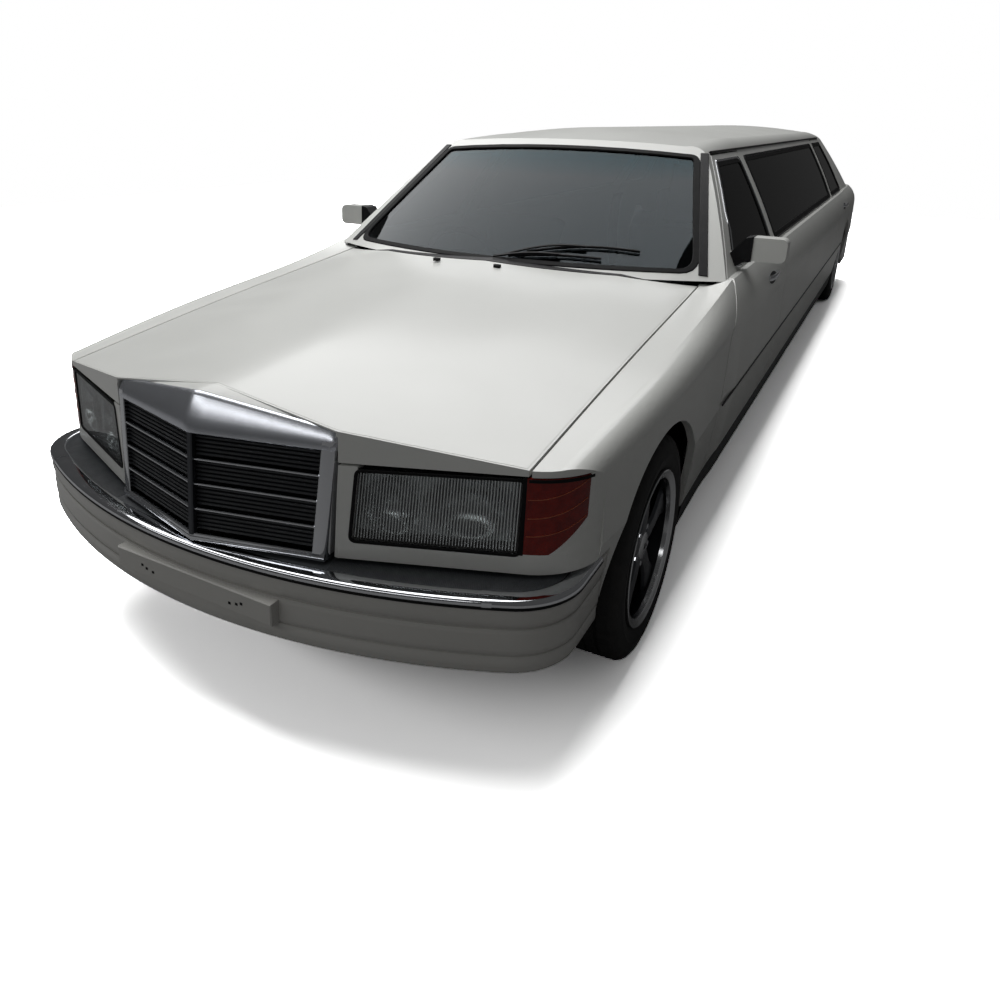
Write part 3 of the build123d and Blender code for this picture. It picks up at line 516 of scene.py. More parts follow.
def wheel(end, side, side_name, track, s):
    key = f"{end}_{side_name}"
    body = f"wheel_{key}"
    centre = at(side * track / 2, s, AXLE_Z)
    tyre = lathe(f"tyre_dressed_{key}", tyre_profile(), centre, side, tyre_rubber, body, 144, tread_notch)
    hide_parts(f"tyre_{key}")
    lip = lathe(f"rim_lip_{key}", LIP, centre, side, polished, body, 96)
    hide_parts(f"rim_{key}")
    for name, profile, finish, segments in ROUND_PARTS:
        lathe(f"{name}_{key}", profile, centre, side, finish, body, segments)
    piece(f"spokes_{key}", *spoke_mesh(centre, side), alloy_dark, body, 25)
    piece(f"wheel_bolts_{key}", *bolt_mesh(centre, side), chrome, body)


for end, track, s in (("front", FRONT_TRACK, FRONT_AXLE_S), ("rear", REAR_TRACK, REAR_AXLE_S)):
    for side, side_name in SIDES:
        wheel(end, side, side_name, track, s)

# Window seals and frames on the glasshouse's sides, bright on the front doors and black elsewhere, (s, z)
# outlines
SIDE_WINDOWS = {
    "front_door": ((1985, 968), (2440, 1306), (2908, 1306), (2836, 968)),
    "stretch": ((2985, 968), (3058, 1306), (5674, 1306), (5602, 968)),
    "rear_door": ((5766, 968), (5838, 1306), (6290, 1306), (6430, 968)),
}


def side_body(label, side_name):
    """Body that carries a part of the car's side."""
    return {"front_door": f"door_front_{side_name}", "rear_door": f"door_rear_{side_name}"}.get(label, "body")


for sign, side_name in SIDES:
    for label, outline in SIDE_WINDOWS.items():
        body = side_body(label, side_name)
        line = divided(rounded(outline, 30), 60)
        seal = [house_point(p.x, p.y, sign, -1) for p in line]
        band(f"{label}_glass_seal_{side_name}", seal, flat_bar(22, -3, 3, 2), rubber, body)
        centre = sum((p for p in line), Vector((0, 0))) / len(line)
        outer = []
        for p in line:
            s, z = p.x + math.copysign(15, p.x - centre.x), p.y + math.copysign(14, p.y - centre.y)
            outer.append(house_point(s, z, sign))
        frame_finish = chrome if label == "front_door" else black_plastic
        band(f"{label}_window_frame_{side_name}", outer, flat_bar(9, -2, 4, 2), frame_finish, body)

# Grille, made anew with rounded edges: a V in plan that leans back, with a crown above
GRILLE_LOW = 505
OPENING_LOW = 524
OPENING_HIGH = 774
CROWN_LOW = 786
CROWN_PEAK = 866
CROWN_FALL = 48
CROWN_LEAN = 0.5
GRILLE_HALF = 351
CORNER_ROUND = 20
SHELL_DEPTH = 60
COLUMN_OVERLAP = 10
BAR_LEVELS = (586, 649, 711)
BAND_EDGES = (OPENING_LOW, *BAR_LEVELS, OPENING_HIGH)
SLATS_PER_BAND = 5


def prow_s(x, z):
    """Place of the grille's face."""
    return -16 + 88 / 334 * abs(x) + 0.07 * (z - GRILLE_LOW)


def opening_x(z):
    return 312 + 16 * (z - OPENING_LOW) / 250


def shell_x(z):
    return 334 + 17 * (z - GRILLE_LOW) / 313


def crown_top(x):
    return CROWN_PEAK - CROWN_FALL * abs(x) / GRILLE_HALF


def crown_ring(x):
    """Section of the shell's top band; its ends are rounded down."""
    end = max(0, abs(x) - GRILLE_HALF + CORNER_ROUND) / CORNER_ROUND
    drop = CORNER_ROUND * (1 - math.sqrt(max(0, 1 - end * end)))
    top = crown_top(x) - drop
    face = prow_s(x, CROWN_LOW) + 0.4 * drop
    rise = top - CROWN_LOW
    back = face + CROWN_LEAN * rise
    bulge = [(face + lean * rise, CROWN_LOW + share * rise)
             for lean, share in ((0.04, 0.15), (0.13, 0.36), (0.42, 0.88))]
    outline = [(face + 12, 775), (face + 0.5, 774), (face - 1, 776), (face - 0.5, 784), *bulge,
               (back, top - 2), (back + 4, top), (back + 9, top - 1), (back + 9, top - 12), (face + 12, 782)]
    return [at(x, s, z) for s, z in outline]


def hood_z(x, s):
    """Height of the hood near the grille."""
    run = (s - 60) / 340
    middle, crease = 866 + 24 * run, 818 + 31 * run
    return middle - (middle - crease) * abs(x) / (350 + 22 * run)


def hood_nose_ring(x):
    """Section of the painted strip between the chrome band and the hood's skin."""
    top = crown_top(x)
    back = prow_s(x, CROWN_LOW) + CROWN_LEAN * (top - CROWN_LOW)
    first, last = back + 12, back + 63
    outline = ((first, top - 12), (first, top - 4), (first + 3, top - 1.5), (last, hood_z(x, last)),
               (last, hood_z(x, last) - 12))
    return [at(x, s, z) for s, z in outline]


def side_ring(z, sign):
    """Section of the shell's rounded column beside the opening."""
    inner, outer = opening_x(z) - COLUMN_OVERLAP, shell_x(z)
    outline = ((inner, 14), (inner, 2), (inner + 2, 0), (outer - 11, 0), (outer - 5, 2), (outer - 1.5, 6),
               (outer, 12), (outer, SHELL_DEPTH), (outer - 6, SHELL_DEPTH), (outer - 6, 18))
    return [at(sign * x, prow_s(x, z) + d, z) for x, d in outline]


def lip_ring(x):
    """Section of the shell's lower lip."""
    outline = ((12, OPENING_LOW), (2, OPENING_LOW), (0, 522), (0, 517), (-2, 515.5), (-2.5, 509), (-1, 506),
               (3, GRILLE_LOW), (SHELL_DEPTH, GRILLE_LOW), (SHELL_DEPTH, 511), (12, 512))
    return [at(x, prow_s(x, z) + d, z) for d, z in outline]


def bar_mesh(level, half, front, back):
    """Bar across the opening, with its half height and its depth behind the face."""
    edge = opening_x(level) + 1
    rings = []
    for x in (-edge, 0, edge):
        outline = ((back, level - half), (front + 1.5, level - half), (front, level - half + 1.5),
                   (front, level + half - 1.5), (front + 1.5, level + half), (back, level + half))
        rings.append([at(x, prow_s(x, z) + d, z) for d, z in outline])
    return loft_rings(rings)


crown_x = [GRILLE_HALF, 350, 347, 342, 337] + spread(GRILLE_HALF - CORNER_ROUND, 0, 12)
crown_x = crown_x + [-x for x in reversed(crown_x[:-1])]
piece("grille_crown_band", *loft_rings([crown_ring(x) for x in crown_x]), satin_chrome, "hood")
shell_meshes = [loft_rings([lip_ring(x) for x in (-333, 0, 333)])]
for sign in (1, -1):
    levels = (GRILLE_LOW, OPENING_LOW, 640, OPENING_HIGH, 796)
    shell_meshes.append(loft_rings([side_ring(z, sign) for z in levels]))
grille = piece("grille_shell_rounded", *merged(shell_meshes), chrome, "hood")
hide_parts("grille_shell")
nose_rings = [hood_nose_ring(x) for x in spread(-343, 343, 16)]
piece("hood_nose_strip", *loft_rings(nose_rings), body_paint, "hood")
piece("grille_bright_bars", *merged([bar_mesh(z, 2.7, 2, 12) for z in BAR_LEVELS]), chrome, "hood")
slat_meshes = []
for low, high in zip(BAND_EDGES, BAND_EDGES[1:]):
    step = (high - low) / (SLATS_PER_BAND + 1)
    slat_meshes += [bar_mesh(low + step * (i + 1), 2.9, 12.5, 30) for i in range(SLATS_PER_BAND)]
slats = piece("grille_slats_rounded", *merged(slat_meshes), slat_plastic, "hood")
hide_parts("grille_slats")
centre_rings = []
for z in (520, 776):
    outline = ((-8, 14), (-8, 2), (-5, -1), (5, -1), (8, 2), (8, 14))
    centre_rings.append([at(x, prow_s(0, z) + d, z) for x, d in outline])
piece("grille_centre_bar", *loft_rings(centre_rings), alloy_dark, "hood")
# A black sheet closes the openings behind the slats: painted shade in the space behind the grille
shade_sheet = [[[at(x, prow_s(x, z) + d, z) for x in (-330, 0, 330)] for z in (512, 780)] for d in (46, 49)]
piece("grille_shade_sheet", *slab(*shade_sheet), black_plastic, "hood")

# Hood: a painted skin on the CAD's top whose shading runs softly over the creases
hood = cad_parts["hood"]
HOOD_COLUMNS = 72
HOOD_ROWS = 60
HOOD_INSET = 5
SOFT_X = 95
SCAN_FIRST_S = 40
SCAN_LAST_S = 1620
SCAN_STEP = 2
SCAN_STEPS = 300
EDGE_STEP = 60
EDGE_OUTSIDE_X = 820


def hood_top(x, s):
    """Height in mm of the hood's top at a place, None beside it."""
    hit, place, _, _ = hood.ray_cast(at(x, s, 1400), Vector((0, 0, -1)))
    return place.z * 1000 if hit else None


def first_hit(places):
    """The first (x, s) with the hood below it."""
    return next(place for place in places if hood_top(*place) is not None)


edge_s = list(range(420, 1441, EDGE_STEP))
edge_x = [first_hit([(EDGE_OUTSIDE_X - d, s) for d in range(200)])[0] - HOOD_INSET for s in edge_s]


def hood_half(s):
    """Half width of the skin."""
    i = min(max(int((s - edge_s[0]) // EDGE_STEP), 0), len(edge_s) - 2)
    return edge_x[i] + (edge_x[i + 1] - edge_x[i]) * (s - edge_s[i]) / EDGE_STEP


def hood_end(share, start, step):
    """Where the hood begins along a line at a share of its half width."""
    line = [start + step * d for d in range(SCAN_STEPS)]
    return first_hit([(share * hood_half(s), s) for s in line])[1]


hood_grid = []
for a in spread(-1, 1, HOOD_COLUMNS):
    low = hood_end(a, SCAN_FIRST_S, SCAN_STEP) + HOOD_INSET
    high = hood_end(a, SCAN_LAST_S, -SCAN_STEP) - HOOD_INSET
    column = []
    for s in spread(low, high, HOOD_ROWS):
        column.append(Vector((a * hood_half(s), s, hood_top(a * hood_half(s), s))))
    hood_grid.append(column)
skin = [[[at(p.x, p.y, p.z + out) for p in column] for column in hood_grid] for out in (0.8, -0.4)]
hood_skin = piece("hood_soft_skin", *slab(*skin), body_paint, "hood", sharp=60)


def place_key(place):
    return tuple(round(v, 5) for v in place)


soft_normals = {}
for i in range(HOOD_ROWS + 1):
    row = [column[i] for column in hood_grid]
    across, along = [], []
    for j in range(HOOD_COLUMNS + 1):
        left, right = row[max(j - 1, 0)], row[min(j + 1, HOOD_COLUMNS)]
        front, rear = hood_grid[j][max(i - 1, 0)], hood_grid[j][min(i + 1, HOOD_ROWS)]
        across.append((right.z - left.z) / (right.x - left.x))
        along.append((rear.z - front.z) / (rear.y - front.y))
    for j, p in enumerate(row):
        weights = [math.exp(-((q.x - p.x) / SOFT_X) ** 2) for q in row]
        dx, ds = (sum(w * v for w, v in zip(weights, values)) / sum(weights) for values in (across, along))
        soft_normals[place_key(skin[0][j][i])] = Vector((-dx, -ds, 1)).normalized()
vertices = hood_skin.data.vertices
hood_skin.data.normals_split_custom_set_from_vertices(
    [soft_normals.get(place_key(vertex.co), vertex.normal) for vertex in vertices])

# Headlamps: fluted glass, two reflectors each, a black gasket
LAMP_ACROSS = 394
LAMP_BACK = 162
LAMP_FIRST_S = 100
RUN = Vector((LAMP_ACROSS, LAMP_BACK)).normalized()
FLUTES = 54


def lamp_point(u, z, deep, sign):
    """Point on the lamp's face, u along it from the grille, deep behind it."""
    x, s = GRILLE_HALF + RUN.x * u - RUN.y * deep, LAMP_FIRST_S + RUN.y * u + RUN.x * deep
    return at(sign * x, s, z)


def lamp_uz(a, b):
    """Place on the lamp's face from shares of its width and height."""
    low, high = 31.4 + 379.5 * a, 48.7 + 366.5 * a
    return low + (high - low) * b, 558 + (178 + 6 * a) * b


def lens_mesh(sign):
    rings = []
    for k in range(FLUTES * 4 + 1):
        a = k / (FLUTES * 4)
        deep = 9.4 - 2.6 * abs(math.sin(math.pi * k / 4))
        rings.append([lamp_point(*lamp_uz(a, b), d, sign)
                      for b, d in ((0, 0), (1, 0), (1, deep), (0, deep))])
    return loft_rings(rings)


GASKET = ((-0.008, -0.02), (1.008, -0.02), (1.008, 0.975), (-0.008, 0.975))
# Centre u and z, half width and half height of each bowl
BOWLS = ((128, 640, 66, 74), (300, 652, 96, 78))


def bowl_depth(u, z):
    deep = 0.0
    for cu, cz, wide, tall in BOWLS:
        reach = ((u - cu) / wide) ** 2 + ((z - cz) / tall) ** 2
        deep = max(deep, 1 - reach)
    return 22 + 46 * deep


def reflector_mesh(sign):
    def place(a, b, extra):
        u, z = lamp_uz(0.012 + 0.976 * a, 0.025 + 0.95 * b)
        return lamp_point(u, z, bowl_depth(u, z) + extra, sign)

    return sheet_mesh(place, 60, 28, (0, 3))


def ball_mesh(centre, radius, rings=10, segments=16):
    result = []
    for i in range(1, rings):
        lift = math.pi * i / rings
        flat, high = math.sin(lift), math.cos(lift)
        result.append([centre + Vector((flat * math.cos(a), flat * math.sin(a), high)) * radius / 1000
                       for a in turns(segments)])
    return loft_rings(result)


lenses = piece("headlamp_fluted_glass", *merged([lens_mesh(1), lens_mesh(-1)]), lamp_glass)
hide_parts("headlamp_lenses")
for sign, side_name in SIDES:
    piece(f"headlamp_reflector_{side_name}", *reflector_mesh(sign), reflector, sharp=60)
    bulbs = [ball_mesh(lamp_point(cu, cz, 46, sign), 13) for cu, cz, wide, tall in BOWLS]
    piece(f"headlamp_bulbs_{side_name}", *merged(bulbs), polished)
    ahead = Vector((sign * RUN.y, -RUN.x, 0))
    corners = [lamp_uz(a, b) for a, b in GASKET]
    line = divided(rounded(corners, 14), 40)
    band(f"headlamp_gasket_{side_name}", [(lamp_point(p.x, p.y, 1, sign), ahead) for p in line],
         flat_bar(8, -8, 3.5, 1.5), rubber)
    edge = [(lamp_point(417.5, z, 1, sign), ahead) for z in (556, 744)]
    band(f"indicator_inner_edge_{side_name}", edge, flat_bar(9, -6, 3, 1.5), rubber, loop=False)

# Indicators: raised lines in a lighter amber as painted highlights, and the fender's painted corner over the
# lens's lower rear
CORNER_X, CORNER_S, CORNER_R = 669.8, 444.9, 197.8
INDICATOR_FIRST_S = 287
INDICATOR_END_S = 362


def corner_point(turn, z, sign, out=0.0):
    """Point and normal on the nose's rounded corner."""
    normal = Vector((sign * math.sin(turn), -math.cos(turn), 0))
    foot = at(sign * (CORNER_X + CORNER_R * math.sin(turn)), CORNER_S - CORNER_R * math.cos(turn), z)
    return foot + normal * out / 1000, normal


def corner_turn(s):
    return math.acos((CORNER_S - s) / CORNER_R)


def corner_top(s):
    """Upper edge of the painted corner."""
    if s <= INDICATOR_END_S:
        return 556 + 84 * (s - INDICATOR_FIRST_S) / (INDICATOR_END_S - INDICATOR_FIRST_S)
    return min(744, 744 - 6.2 * (s - 376) + 1.5)


RIDGE = ((-2, -1.6), (1.1, -0.9), (1.1, 0.9), (-2, 1.6))
first_turn = math.atan2(LAMP_BACK, LAMP_ACROSS)
for sign, side_name in SIDES:
    ridges = []
    for level in (692, 647, 603):
        rings = []
        for t in spread(0, 1, 14):
            turn = first_turn + (corner_turn(357) - first_turn) * t
            p, n = corner_point(turn, level + 40 * t * t, sign)
            rings.append([p + n * out / 1000 + Vector((0, 0, up / 1000)) for out, up in RIDGE])
        ridges.append(loft_rings(rings))
    # The ridges are in lighter amber: painted highlights
    piece(f"indicator_highlight_ridges_{side_name}", *merged(ridges), amber_painted_highlight)
    top = [corner_point(turn, 737, sign) for turn in spread(first_turn, corner_turn(372), 14)]
    band(f"indicator_seal_{side_name}", top, flat_bar(8, -4, 1.5, 0.8), rubber, loop=False)
    stations = spread(INDICATOR_FIRST_S, INDICATOR_END_S, 8)
    stations += [INDICATOR_END_S + 0.4, 370, 376, 384, 392, 400, 407]
    grids = []
    for out in (1.0, -3.0):
        low = [corner_point(corner_turn(s), 554, sign, out)[0] for s in stations]
        high = [corner_point(corner_turn(s), corner_top(s), sign, out)[0] for s in stations]
        grids.append([low, high])
    piece(f"fender_corner_{side_name}", *slab(*grids), body_paint)

# Front bumper: plan stations of its face with outward normals, from the car's right to its left
BOW_R, BOW_S, BOW_TURN = 1661.6, 1637.6, math.radians(27.22)
BEND_X, BEND_S, BEND_R = 672.3, 330.4, 191.7
BUMPER_SIDE_X = 864
BUMPER_END_S = 486
STRIP_END_S = 462
RUBBER_END_S = 470
PAD_END_S = 440
PAD_FIRST_X = 356


def bumper_run(end_s, bow_steps=40, bend_steps=16, side_step=20):
    half = []
    for x, s, r, angles in ((0, BOW_S, BOW_R, spread(0, BOW_TURN, bow_steps)[:-1]),
                            (BEND_X, BEND_S, BEND_R, spread(BOW_TURN, math.pi / 2, bend_steps))):
        for turn in angles:
            nx, ns = math.sin(turn), -math.cos(turn)
            half.append((x + r * nx, s + r * ns, nx, ns))
    steps = max(1, round((end_s - BEND_S) / side_step))
    half += [(BUMPER_SIDE_X, s, 1, 0) for s in spread(BEND_S, end_s, steps)[1:]]
    return [(-x, s, -nx, ns) for x, s, nx, ns in reversed(half[1:])] + half


def bumper_ring(station, profile):
    x, s, nx, ns = station
    return [at(x + nx * out, s + ns * out, z) for out, z in profile]


def along_bumper(name, profile, mat, run):
    """Closed profile of (out, z) carried along stations of the bumper."""
    return piece(name, *loft_rings([bumper_ring(station, profile) for station in run]), mat)


SKIN = ((-10, 480), (-4, 479), (-1, 475.5), (0, 468), (0, 452), (-1, 442), (-3, 434), (-6, 429.5),
        (-9, 428.5), (-9, 424.5), (-5.5, 423.5), (-3.5, 420), (-3, 410), (-3, 374), (-3.5, 364),
        (-5.5, 360.5), (-9, 359.5), (-9, 355.5), (-6.5, 354.5), (-5, 351), (-5, 332), (-6, 318),
        (-9, 310.5), (-15, 308), (-58, 308), (-58, 480))
ARCH_R = 409
skin_rings = [bumper_ring(station, SKIN) for station in bumper_run(BUMPER_END_S)]
for ring in (skin_rings[0], skin_rings[-1]):
    for point, (out, z) in zip(ring, SKIN):
        arch_s = FRONT_AXLE_S - math.sqrt(ARCH_R ** 2 - (z - AXLE_Z) ** 2)
        point.y = at(0, min(BUMPER_END_S, arch_s), z).y
# The bumper skin and the plate plinth are in the darker copy of the body paint: painted shade
skin = piece("front_bumper_skin", *loft_rings(skin_rings), shaded_lower_paint)
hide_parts("front_bumper")
piece("plate_plinth", *box_mesh(-255, 255, -30, 12, 361, 419, 3), shaded_lower_paint)
# Small dark marks on the plinth at its screw holes: painted shade standing in for the holes
hole_shades = []
for x, z in ((-165, 392), (-150, 386), (-128, 382), (128, 382), (150, 386), (165, 392)):
    hole_shades.append(box_mesh(x - 4, x + 4, -30.6, -24, z - 3.5, z + 3.5, 0.3))
piece("plate_hole_shades", *merged(hole_shades), rubber)

STRIP = ((0.5, 482), (2.5, 484), (3, 488), (2, 493), (-2, 497), (-8, 499), (-18, 499.6), (-36, 499.4),
         (-39, 498.5), (-39, 496.3), (-9, 496.3), (-9, 482))
RUBBER_LINE = ((-4, 475.5), (1.2, 475.5), (2, 477), (2, 481), (1.2, 482.2), (-4, 482.2))
strip = along_bumper("bumper_chrome_strip", STRIP, chrome, bumper_run(STRIP_END_S))
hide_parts("bumper_trim")
along_bumper("bumper_rubber_line", RUBBER_LINE, rubber, bumper_run(RUBBER_END_S))
STRIP_CAP = [(out + (1.2 if out > -30 else 0), z + (0.8 if z > 490 else -1)) for out, z in STRIP]
for sign, side_name in SIDES:
    joint = [station for station in bumper_run(RUBBER_END_S, 400) if 704 < sign * station[0] < 726]
    along_bumper(f"bumper_strip_joint_{side_name}", STRIP_CAP, chrome, joint)
    end = [(sign * BUMPER_SIDE_X, s, sign, 0) for s in (456, 470, 480, 484)]
    rings = [bumper_ring(station, STRIP_CAP) for station in end]
    middle = sum(rings[-1], Vector()) / len(STRIP_CAP)
    rings[-1] = [middle + (p - middle) * 0.8 for p in rings[-1]]
    # The strip ends are in the darker copy of the body paint: painted shade
    piece(f"bumper_strip_end_{side_name}", *loft_rings(rings), shaded_lower_paint)

rib_meshes = []
for x, s, nx, ns in bumper_run(PAD_END_S, 190, 36, 8):
    if abs(x) < PAD_FIRST_X:
        continue
    rings = []
    for out in (-43, -45, -118, -120):
        lift = 497.5 if out in (-45, -118) else 496.2
        rings.append([at(x + nx * out - ns * k, s + ns * out + nx * k, z)
                      for k, z in ((-1.5, 495), (-1.0, lift), (1.0, lift), (1.5, 495))])
    rib_meshes.append(loft_rings(rings))
piece("bumper_pad_ribs", *merged(rib_meshes), grey_plastic)

# Windshield and rear window as clean sheets, (half width, z) at foot and top corner, z at the top centre
SCREENS = {"front": (728, 962, 568, 1336, 1361), "rear": (625, 1000, 535, 1328, 1354)}
for kind, node, mat in (("front", "windshield", screen_glass), ("rear", "rear_window", side_glass)):
    foot_x, foot_z, top_x, top_z, crown_z = SCREENS[kind]

    def screen_place(share, b, out):
        a = 2 * share - 1
        z = foot_z + b * (crown_z - (crown_z - top_z) * a * a - foot_z)
        return screen_point(kind, a * (foot_x + (top_x - foot_x) * b), z, out)[0]

    sheet = piece(f"{node}_glass", *sheet_mesh(screen_place, 32, 16, (-2.5, -9)), mat)
    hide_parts(node)
    top = [(top_x * t, crown_z - (crown_z - top_z) * t * t) for t in spread(1, -1, 8)]
    line = divided(rounded([(-foot_x, foot_z), (foot_x, foot_z)] + top, 38), 50)
    band(f"{kind}_screen_seal", [screen_point(kind, p.x, p.y) for p in line], flat_bar(26, -4, 5, 3), rubber)

# Black trim down the windshield's pillars, with the drip rail above the doors
RAIL_Z = 1353
for sign, side_name in SIDES:
    pillar = [screen_point("front", sign * (753 - 162 * t), 950 + 398 * t, 1) for t in spread(0, 1, 8)]
    band(f"pillar_trim_{side_name}", pillar, flat_bar(33, -6, 5, 2), black_plastic, loop=False)
    rail = [house_point(s, RAIL_Z, sign) for s in spread(2396, 6330, 40)]
    band(f"drip_rail_{side_name}", rail, flat_bar(9, -3, 7, 2), black_plastic, loop=False)

# Wipers: arms and blades nested at the windshield's foot on the car's left
UP_GLASS = Vector((0, 0.85, 0.53))
# start and end as (x, z), rise in the middle, width, lower and upper side above the glass
WIPERS = (
    ((35, 968), (330, 1014), 16, 9, 11, 17),
    ((120, 990), (520, 1012), 16, 7, 2, 11),
    ((5, 962), (250, 985), 8, 9, 11, 17),
    ((60, 972), (400, 984), 8, 7, 2, 11),
)
wiper_meshes = []
for start, end, rise, width, low, high in WIPERS:
    edge = width / 2
    section = ((low, -edge), (high, -edge + 1.5), (high, edge - 1.5), (low, edge))
    rings = []
    for t in spread(0, 1, 12):
        x, z = (p + (q - p) * t for p, q in zip(start, end))
        foot, normal = screen_point("front", x, z + rise * math.sin(math.pi * t))
        rings.append([foot + (normal * out + UP_GLASS * v) / 1000 for out, v in section])
    wiper_meshes.append(loft_rings(rings))
wipers = piece("wiper_arms_and_blades", *merged(wiper_meshes), black_plastic)
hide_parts("wipers")
nozzles = [box_mesh(x - 12, x + 12, 1466, 1490, 955, 967, 4) for x in (-172, 82)]
piece("washer_nozzles", *merged(nozzles), rubber, "hood")

# Mirrors: black foot, mirror glass, soft edges
# x, lower and upper z of the foot's sections
MIRROR_FOOT = ((796, 962, 1010), (822, 962, 1040), (845, 978, 1068), (872, 982, 1074))
for sign, side_name in SIDES:
    body = f"door_front_{side_name}"
    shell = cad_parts[f"mirror_{side_name}"]
    soft = shell.modifiers.new("soft_edges", "BEVEL")
    soft.width = 0.007
    soft.segments = 3
    soft.limit_method = "ANGLE"
    foot = []
    for x, low, high in MIRROR_FOOT:
        foot.append([at(sign * x, s, z) for s, z in ((1996, low), (2079, low), (2079, high), (1996, high))])
    piece(f"mirror_foot_{side_name}", *loft_rings(foot), black_plastic, body)
    glass = []
    for s in (2074, 2077):
        glass.append([[at(sign * x, s, z) for x in (880, 984)] for z in (992, 1066)])
    piece(f"mirror_glass_{side_name}", *slab(*glass), mirror_glass, body)

# Door handles in dark cups, lower trim line
HANDLES = (("front", 2510), ("rear", 6170))
CUP_Z = 848
GRIP_Z = 856
# along the door, out from it
GRIP_LINE = ((-98, 1), (-86, 14), (-60, 19), (0, 21), (60, 19), (86, 14), (98, 1))
GRIP_SECTION = ((-5, -9), (3, -11), (5, -6), (5, 6), (3, 11), (-5, 9))
CLADDING_Z = 548
CLADDING = (("front_door", 1584, 2836), ("stretch", 2860, 5686), ("rear_door", 5706, 6262))
for sign, side_name in SIDES:
    for end, middle in HANDLES:
        body = f"door_{end}_{side_name}"
        cup = [side_point(middle + 92 * math.cos(a), CUP_Z + 23 * math.sin(a), sign)[0] for a in turns(28)]
        normal = side_point(middle, CUP_Z, sign)[1]
        rings = [[p + normal * out / 1000 for p in cup] for out in (-3, 1.2)]
        piece(f"handle_cup_{end}_{side_name}", *loft_rings(rings), black_plastic, body)
        grip = []
        for ds, out in GRIP_LINE:
            foot, normal = side_point(middle + ds, GRIP_Z, sign, out)
            grip.append([foot + Vector((normal.x * k, 0, v)) / 1000 for k, v in GRIP_SECTION])
        piece(f"handle_grip_{end}_{side_name}", *loft_rings(grip), chrome, body)
    for label, first, last in CLADDING:
        run = [side_point(s, CLADDING_Z, sign) for s in spread(first, last, 12)]
        band(f"cladding_line_{label}_{side_name}", run, flat_bar(7, -2, 3, 1.2), black_plastic,
             side_body(label, side_name), False)

# Seats: foam under leather, swollen by cloth pressure from slightly smaller blocks
FOAM_INSET = 15
FOAM_VOXEL = 0.013
FOAM_SWELL = 0.024
FOAM_FRAMES = 20
SEAT_X = 385
BACK_LEAN = 18


def evaluated(obj):
    return bpy.data.meshes.new_from_object(obj.evaluated_get(bpy.context.evaluated_depsgraph_get()))


def foam_block(name, size, centre, lean):
    """Finely meshed block of (width, depth, height), leaning back by an angle."""
    turn = Matrix.Rotation(math.radians(-lean), 3, "X")
    half = [v / 2 - FOAM_INSET for v in size]
    corners = []
    for z in (-1, 1):
        for x, y in ((-1, -1), (1, -1), (1, 1), (-1, 1)):
            offset = turn @ Vector((x * half[0], y * half[1], z * half[2]))
            corners.append(at(*centre) + offset / 1000)
    block = piece(name, *loft_rings([corners[:4], corners[4:]]), leather)
    fine = block.modifiers.new("fine", "REMESH")
    fine.mode = "VOXEL"
    fine.voxel_size = FOAM_VOXEL
    block.data = evaluated(block)
    block.modifiers.remove(fine)
    return block


# name, size, centre, lean
FOAM = [("rear_seat_cushion", (1180, 480, 140), (0, 6220, 515), 0),
        ("rear_seat_back", (1180, 130, 580), (0, 6480, 845), BACK_LEAN)]
for sign, side_name in SIDES:
    FOAM.append((f"seat_cushion_{side_name}", (460, 480, 140), (sign * SEAT_X, 2490, 410), 0))
    FOAM.append((f"seat_back_{side_name}", (460, 130, 580), (sign * SEAT_X, 2750, 740), BACK_LEAN))
foam = [foam_block(*row) for row in FOAM]
for block in foam:
    cloth = block.modifiers.new("cloth", "CLOTH")
    cloth.settings.use_pressure = True
    cloth.settings.uniform_pressure_force = 4
    cloth.settings.effector_weights.gravity = 0
    cloth.point_cache.frame_end = FOAM_FRAMES
for number in range(1, FOAM_FRAMES + 1):
    bpy.context.scene.frame_set(number)
swollen = [[v.co.copy() for v in evaluated(block).vertices] for block in foam]
for block, places in zip(foam, swollen):
    block.modifiers.clear()
    for vertex, place in zip(block.data.vertices, places):
        move = place - vertex.co
        vertex.co += move * min(1, FOAM_SWELL / max(move.length, 1e-9))
bpy.context.scene.frame_set(1)
for block in foam:
    finer = block.modifiers.new("finer", "SUBSURF")
    finer.levels = finer.render_levels = 1
    block.data = evaluated(block)
    block.modifiers.clear()
    block.data.shade_smooth()
    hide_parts("rear_seats" if block.name.startswith("rear") else "front_seats")
front_bases = [box_mesh(x - 200, x + 200, 2310, 2470, 233, 360, 4) for x in (SEAT_X, -SEAT_X)]
front_base = piece("front_seat_bases", *merged(front_bases), dash_vinyl)
rear_base = piece("rear_seat_base", *box_mesh(-560, 560, 6040, 6200, 370, 465, 4), dash_vinyl)
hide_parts("front_seats")
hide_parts("rear_seats")

# Tail: painted corners above the ribbed lamps, blank plate, handle strip, bumper strip, exhaust tip
TAIL_CORNER = ((646.5, 776), (848.5, 776), (848, 791), (845.5, 805), (841.5, 819.5), (836.5, 832.5),
               (825.5, 848.5), (813.5, 862), (802, 871.5), (783, 882.5), (694, 902.5), (650, 908.5),
               (646.5, 909))
for sign, side_name in SIDES:
    corner = [[at(sign * x, s, z) for x, z in TAIL_CORNER] for s in (7768, 7787)]
    piece(f"tail_corner_{side_name}", *loft_rings(corner), body_paint)
    ribs = []
    for z in range(615, 770, 22):
        rings = []
        for x in (438, 640, 845):
            rings.append([at(sign * x, 7788 + out, z + up) for out, up in ((0, -8), (6, -5), (6, 5), (0, 8))])
        ribs.append(loft_rings(rings))
    piece(f"tail_lamp_ribs_{side_name}", *merged(ribs), red_lens)
piece("rear_plate_blank", *box_mesh(-260, 260, 7786, 7794, 562, 676, 2), plate_white)
piece("trunk_handle_strip", *box_mesh(-280, 280, 7786, 7802, 708, 732, 4), chrome, "trunk_lid")
